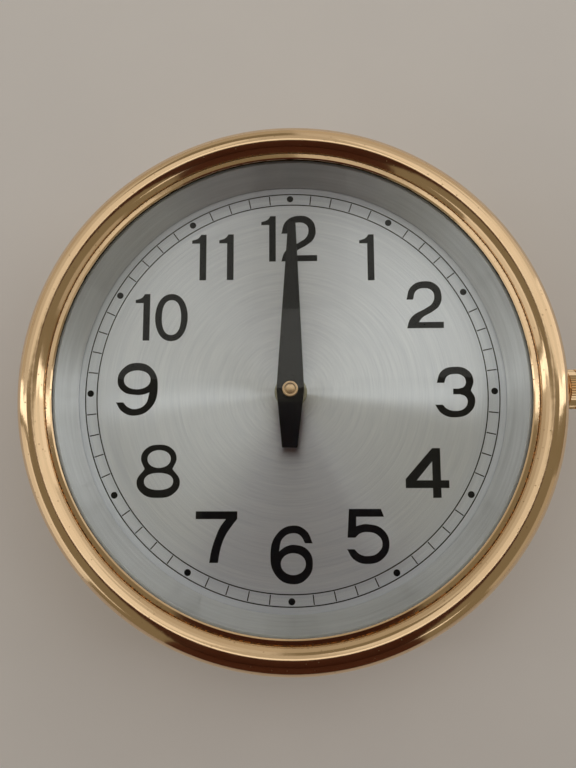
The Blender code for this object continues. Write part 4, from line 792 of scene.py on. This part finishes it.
black_paint = hand_paint()
hour_low, hour_high = (corner.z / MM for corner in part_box("hour_hand"))
hour_blade = blade(hour_length, hour_tail, hour_hub, hour_tip, hour_tail_width, hand_bores["hour"],
                   hour_low, hour_high)
finish_piece(hour_blade, "hour_hand_blade", "hour_pipe", "hand_paint", black_paint, "hour_hand")
minute_low, minute_high = (corner.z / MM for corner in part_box("minute_hand"))
minute_blade = blade(minute_length, minute_tail, minute_hub, minute_tip, minute_tail_width,
                     hand_bores["minute"], minute_low, minute_high)
placed(minute_blade, (0, 0, 0), Matrix.Rotation(minute_lean, 4, "Z"))
finish_piece(minute_blade, "minute_hand_blade", "minute_arbor", "hand_paint", black_paint,
             "minute_hand")
for name, body in (("minute", "minute_arbor"), ("hour", "hour_pipe")):
    low, high = (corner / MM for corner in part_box(name + "_collet"))
    collet = flat_ring(hand_bores[name], high.x, low.z, high.z, 64)
    finish_piece(soften(collet, 0.15), name + "_collet_turned", body, "brass", wheel_brass,
                 name + "_collet")


# Hand cap: a small turned brass nut that closes over the end of the arbor and holds the long
# hand down, with a groove cut round its face, which is a little mottled from handling.
cap_low, cap_high = (corner.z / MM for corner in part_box("hand_cap"))
cap_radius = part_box("hand_cap")[1].x / MM
cap_bore = 2.5
cap_roof = 0.8
cap_button = 1.95
cap_groove = 0.45
cap_groove_depth = 0.4
cap = spin([(0, cap_high), (cap_button, cap_high), (cap_button, cap_high - cap_groove_depth),
            (cap_button + cap_groove, cap_high - cap_groove_depth),
            (cap_button + cap_groove, cap_high), (cap_radius, cap_high), (cap_radius, cap_low),
            (cap_bore, cap_low), (cap_bore, cap_high - cap_roof), (0, cap_high - cap_roof)], 64)


def handled_brass(groove_radius):
    """Turned brass that fingers have dulled: blotchy, and dark brown in the groove, whose
    radius is in mm."""
    surface, place = new_surface("handled_cap_brass", {"Metallic": 1.0})
    rings = lathe_rings(surface, place)
    blotches = add_node(surface, "ShaderNodeTexNoise", {},
                        {"Vector": place, "Scale": 1 / (0.7 * MM), "Detail": 4.0}).outputs["Fac"]
    clean = add_node(surface, "ShaderNodeMix", {"data_type": "RGBA"},
                     {0: blotches, MIX_A: colour("#D0A57A"), MIX_B: colour("#F6DDBA")})
    # the groove is coloured dark brown (#4A3720)
    groove_brown = add_node(surface, "ShaderNodeMapRange", {},
                    {"Value": off_ring(surface, rings, groove_radius + cap_high),
                     "From Min": 0.2 * MM, "From Max": 0.45 * MM, "To Min": 0.8, "To Max": 0.0})
    texture(surface,
            (groove_brown.outputs["Result"], clean.outputs[MIX_COLOUR], colour("#4A3720")),
            (blotches, 0.26, 0.42), (blotches, 0.3, 0.03))
    return surface


finish_piece(soften(cap, 0.12, 2), "hand_cap_turned", "minute_arbor", "polished_brass",
             handled_brass(cap_button + cap_groove / 2), "hand_cap")


# Bezel: a heavy brass ring turned all over and polished, with a half-round bead, a shallow
# channel inside it, a thin lip over the glass and a straight skirt that drops over the drum.
bezel_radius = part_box("bezel_ring")[0].x / -MM      # on the side away from the boss
bead_radius = 6.8
bead_x = bezel_radius - bead_radius
bead_z = dial_front + 18.0
lip_radius = 104.4
lip_top = dial_front + 21.3
lip_thickness = 1.0
lip_edge = 0.5
skirt_inner = 116.8
skirt_bottom = dial_front + 1.0
skirt_edge = 0.4
seat_gap = 0.3
shelf = gasket_high + seat_gap
pocket = 113.4
rabbet = 109.3
clamp_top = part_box("glass_clamp_ring")[1].z / MM
screw_height = dial_front + 6.0
screw_bore = 2.8
boss_radius = 5.5
boss_face = 121.4
boss_root = 0.9
crease = lip_top - 0.2
crease_width = 0.35
crease_depth = 0.45
crease_angle = 180 - math.degrees(math.asin((crease - bead_z) / bead_radius))
skirt_angle = -math.degrees(math.acos((skirt_outer - bead_x) / bead_radius))
crease_x = bead_x + bead_radius * math.cos(math.radians(crease_angle))
bezel_profile = [(lip_radius, lip_top - lip_edge), (lip_radius + lip_edge, lip_top),
                 (crease_x - crease_width, crease), (crease_x, crease - crease_depth)]
bezel_profile += arc((bead_x, bead_z), bead_radius, crease_angle, skirt_angle, 40)
bezel_profile += [(skirt_outer, skirt_bottom + skirt_edge),
                  (skirt_outer - skirt_edge, skirt_bottom), (skirt_inner, skirt_bottom),
                  (skirt_inner, shelf), (pocket, shelf),
                  (pocket, clamp_top + seat_gap), (rabbet, clamp_top + seat_gap),
                  (rabbet, lip_top - lip_thickness), (lip_radius, lip_top - lip_thickness)]
bezel = spin(bezel_profile, 320, closed=True)
bezel = worked(bezel, [rod(boss_radius, (skirt_outer - boss_root, 0, screw_height),
                           (boss_face, 0, screw_height), 64)], "UNION")
bezel = worked(bezel, [rod(screw_bore, (case_outer, 0, screw_height),
                           (boss_face + screw_bore, 0, screw_height))])
bezel_brass = polished_brass("polished_bezel_brass", 0.6, crease_x + crease)
finish_piece(bezel, "bezel_turned", "bezel", "polished_brass", bezel_brass, "bezel_ring")


# Glass: a 2 mm disc of clear float glass with a ground edge, pressed up under the lip on a
# rubber gasket by a turned brass ring and three slotted screws from behind.
glass_low, glass_high = (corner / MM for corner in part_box("glass"))
glass_gasket_inner = 106.4


def clear_glass():
    """Clear float glass: a faint green body and a trace of wiping marks in the shine. It mirrors
    less than real glass, as in the photo. Light passes straight through it to the dial, so
    shadow rays take a transparent shader."""
    surface, place = new_surface("clear_float_glass", {
        "IOR": 1.28, "Transmission Weight": 1.0, "Base Color": colour("#FBFDFC")})
    wiped = add_node(surface, "ShaderNodeTexNoise", {},
                     {"Vector": place, "Scale": 1 / (35 * MM), "Detail": 5.0, "Distortion": 1.5})
    rough = add_node(surface, "ShaderNodeMapRange", {},
                     {"Value": wiped.outputs["Fac"], "From Min": 0.4, "From Max": 0.7,
                      "To Min": 0.0, "To Max": 0.015})
    feed(surface, rough=rough.outputs["Result"])
    shader = surface.node_tree.nodes["Principled BSDF"]
    path = add_node(surface, "ShaderNodeLightPath", {}, {})
    clear = add_node(surface, "ShaderNodeBsdfTransparent", {}, {0: colour("#FBFDFC")})
    mixed = add_node(surface, "ShaderNodeMixShader", {},
                     {0: path.outputs["Is Shadow Ray"], 1: shader.outputs["BSDF"],
                      2: clear.outputs["BSDF"]})
    output = surface.node_tree.nodes["Material Output"]
    surface.node_tree.links.new(mixed.outputs["Shader"], output.inputs["Surface"])
    return surface


glass = spin([(0, glass_high.z), (glass_high.y, glass_high.z), (glass_high.y, glass_low.z),
              (0, glass_low.z)])
finish_piece(soften(glass, 0.25, corner=60.0), "glass_disc", "bezel", "clear_glass", clear_glass(),
             "glass")
low, high = (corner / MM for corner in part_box("glass_gasket"))
glass_gasket = flat_ring(glass_gasket_inner, high.y, low.z, high.z)
finish_piece(soften(glass_gasket, 0.2), "glass_gasket_ring", "bezel", "black_rubber", rubber,
             "glass_gasket")
low, high = (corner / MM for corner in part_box("glass_clamp_ring"))
clamp = flat_ring(glass_gasket_inner, high.y, low.z, high.z)
finish_piece(soften(clamp, 0.25), "glass_clamp_turned", "bezel", "brass", case_brass,
             "glass_clamp_ring")
for number in range(1, 4):
    slotted_screw(f"clamp_screw_{number}", "bezel", small_screw, (0, 0, -1),
                  Matrix.Rotation(math.radians(50 * number), 4, "Z")
                  @ Matrix.Rotation(math.pi, 4, "X"))


# Thumbscrew at 3 o'clock: turned brass with a straight knurl in two bands, and a plain washer
# under its head. Its tip bears on the drum and locks the bezel.
knob_low, knob_high = (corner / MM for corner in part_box("thumb_screw"))
washer_low, washer_high = (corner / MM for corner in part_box("thumb_washer"))
knob_start = washer_high.x + seat_gap
knob_end = knob_high.x
knob_radius = knob_high.y
knob_band = 4.3
knob_groove = 0.8
knob_edge = 0.6
knurl_depth = 0.5
knurl_teeth = 48
core = knob_radius - 2 * knurl_depth
thread_radius = 2.5
tip_radius = 2.0
tip_start = knob_low.x + 0.8
thumb = spin([(0, knob_end), (core - knob_edge, knob_end), (core, knob_end - knob_edge),
              (core, knob_start + knob_edge), (core - knob_edge, knob_start),
              (thread_radius, knob_start), (thread_radius, tip_start), (tip_radius, tip_start),
              (tip_radius, knob_low.x), (0, knob_low.x)], 96)
soften(thumb, 0.15)
bands = []
for start, end in ((knob_start + knob_edge, knob_start + knob_band),
                   (knob_start + knob_band + knob_groove, knob_end - knob_edge)):
    band = rod(1.0, (0, 0, start), (0, 0, end), 2 * knurl_teeth)
    for vert in band.verts:
        turn = math.degrees(math.atan2(vert.co.y, vert.co.x)) * knurl_teeth / 180
        reach = knob_radius - knurl_depth * (round(turn) % 2)
        vert.co.x *= reach
        vert.co.y *= reach
    bands.append(soften(band, 0.12, segments=1, corner=60.0))
thumb = worked(thumb, bands, "UNION")
placed(thumb, (0, 0, screw_height), Matrix.Rotation(math.pi / 2, 4, "Y"))
finish_piece(thumb, "thumb_screw_knurled", "thumb_screw", "polished_brass", bright_brass,
             "thumb_screw")
washer = flat_ring(screw_bore, washer_high.y, washer_low.x, washer_high.x, 64)
placed(soften(washer, 0.15), (0, 0, screw_height), Matrix.Rotation(math.pi / 2, 4, "Y"))
finish_piece(washer, "thumb_washer_turned", "washer", "polished_brass", bright_brass,
             "thumb_washer")


# Floor: a plain pale grey table top, nearly matt, with a faint unevenness in its tone. The back
# of the clock's flange lies flat on it.
floor_half = 4000.0
floor_thickness = 20.0
floor = loose_object(block((-floor_half, -floor_half, -floor_thickness),
                           (floor_half, floor_half, 0.0)), "floor")
floor_surface = mottled("pale_table", {"IOR": 1.45}, "#F5F4F9", "#EFEEF4", 60.0, 0.55, 0.65, 0.0)
floor.data.materials.append(floor_surface)


# Studio light: big soft panels on the ceiling and walls of a room, each at its own brightness,
# and a brown screen to the south. The polished bezel mirrors them, so their edges draw its bands.
ceiling = 1.6
room_half = 2.5
screen_near = 0.14                  # the brown screen's half width overhead, and at the wall
screen_far = 0.62
window_white = "#FFFDF8"
wall_cream = "#FFF8EE"


def panel(name, low, high, towards, radiance, tint):
    """A rectangular light between two corners of a flat box, facing a direction, in metres."""
    low, high = Vector(low), Vector(high)
    light = bpy.data.lights.new(name, "AREA")
    light.shape = "RECTANGLE"
    lamp = bpy.data.objects.new(name, light)
    lamp.location = (low + high) / 2
    lamp.rotation_euler = Vector(towards).to_track_quat("-Z", "Y").to_euler()
    across = lamp.rotation_euler.to_matrix().transposed() @ (high - low)
    light.size, light.size_y = abs(across.x), abs(across.y)
    light.energy = radiance * math.pi * light.size * light.size_y
    light.color = colour(tint)[:3]
    bpy.context.scene.collection.objects.link(lamp)


def overhead(name, low, high, radiance):
    """A light panel laid flat on the ceiling between two corners."""
    panel(name, (*low, ceiling), (*high, ceiling), (0, 0, -1), radiance, window_white)


def upright(name, x, start, end, radiance, tint, foot=0.0):
    """A light panel on the east or west wall, from one y to another, facing the clock."""
    panel(name, (x, start, foot), (x, end, ceiling), (-x, 0, 0), radiance, tint)


overhead("overhead_north", (-0.15, 0.17), (0.15, 0.42), 0.85)
overhead("north_ceiling", (-0.15, 0.42), (0.15, 1.2), 0.28)
overhead("north_east_ceiling", (0.15, 0.2), (1.2, 1.2), 0.66)
overhead("far_north_ceiling", (0.0, 1.2), (1.2, room_half), 0.36)
overhead("far_north_east_ceiling", (1.2, 0.25), (room_half, room_half), 0.6)
overhead("north_west_ceiling", (-1.0, 0.2), (-0.15, 1.2), 0.55)
overhead("far_north_west_ceiling", (-room_half, 0.17), (-1.0, room_half), 0.36)
overhead("south_west_ceiling", (-room_half, -1.9), (-1.6, -0.1), 0.62)
overhead("east_skylight", (1.0, 0.06), (room_half, 0.24), 1.5)
overhead("west_skylight", (-room_half, 0.02), (-1.0, 0.2), 1.5)
overhead("south_east_window", (0.62, -1.55), (1.15, -1.25), 0.85)
panel("north_wall_east", (0.0, room_half, 0.0), (room_half, room_half, ceiling), (0, -1, 0),
      0.28, wall_cream)
panel("north_wall_west", (-room_half, room_half, 0.0), (0.0, room_half, ceiling), (0, -1, 0),
      0.2, wall_cream)
upright("east_wall", room_half, 0.3, 1.4, 0.72, window_white)
upright("north_east_wall", room_half, 1.4, room_half, 0.4, window_white)
upright("south_east_wall", room_half, -2.3, -0.6, 0.19, wall_cream)
upright("east_window", room_half - 0.1, 0.08, 0.34, 1.3, window_white, 0.3)
upright("north_west_wall", -room_half, 0.05, room_half, 0.24, wall_cream)
upright("south_west_wall", -room_half, -2.0, -0.1, 0.5, window_white)
upright("west_window", 0.1 - room_half, 0.02, 0.3, 1.3, window_white, 0.3)

screen = bmesh.new()
screen_bends = [(0.1, 1.3, screen_near), (-1.1, 1.3, screen_far), (-1.1, 0.0, screen_far)]
corners = [[screen.verts.new((side * half, y, z)) for y, z, half in screen_bends]
           for side in (-1, 1)]
for step in (0, 1):
    screen.faces.new((corners[0][step], corners[1][step], corners[1][step + 1],
                      corners[0][step + 1]))
brown_screen = loose_object(screen, "brown_screen")
brown_screen.visible_camera = False
brown_screen.data.materials.append(mottled("brown_screen_cloth", {}, "#74402C", "#3A1E15", 90.0,
                                           0.8, 0.9, 0.0))

# What the panels leave open is a dim, warm grey room.
room = bpy.data.worlds.new("room")
bpy.context.scene.world = room
room.use_nodes = True
room.node_tree.nodes["Background"].inputs["Color"].default_value = colour("#8E846D")
room.node_tree.nodes["Background"].inputs["Strength"].default_value = 0.82


# Camera: a 27 mm lens looking down from 270 mm above the dial, so that the clock fills the frame
# as it does when it lies on a table. It is tilted to the north, a little to the west, and hardly
# turned.
camera_place = Vector((0.00553, -0.02772, 0.31612))
tilt_north = math.radians(6.69)
tilt_west = math.radians(1.487)
camera_turn = math.radians(-0.219)
camera_data = bpy.data.cameras.new("camera")
camera_data.lens = 27.155
camera_data.sensor_width = 36.0
camera = bpy.data.objects.new("camera", camera_data)
camera.matrix_world = Matrix.LocRotScale(camera_place, Euler((tilt_north, tilt_west, camera_turn)),
                                         None)
bpy.context.scene.collection.objects.link(camera)
bpy.context.scene.camera = camera
bpy.context.scene.view_settings.view_transform = "Standard"
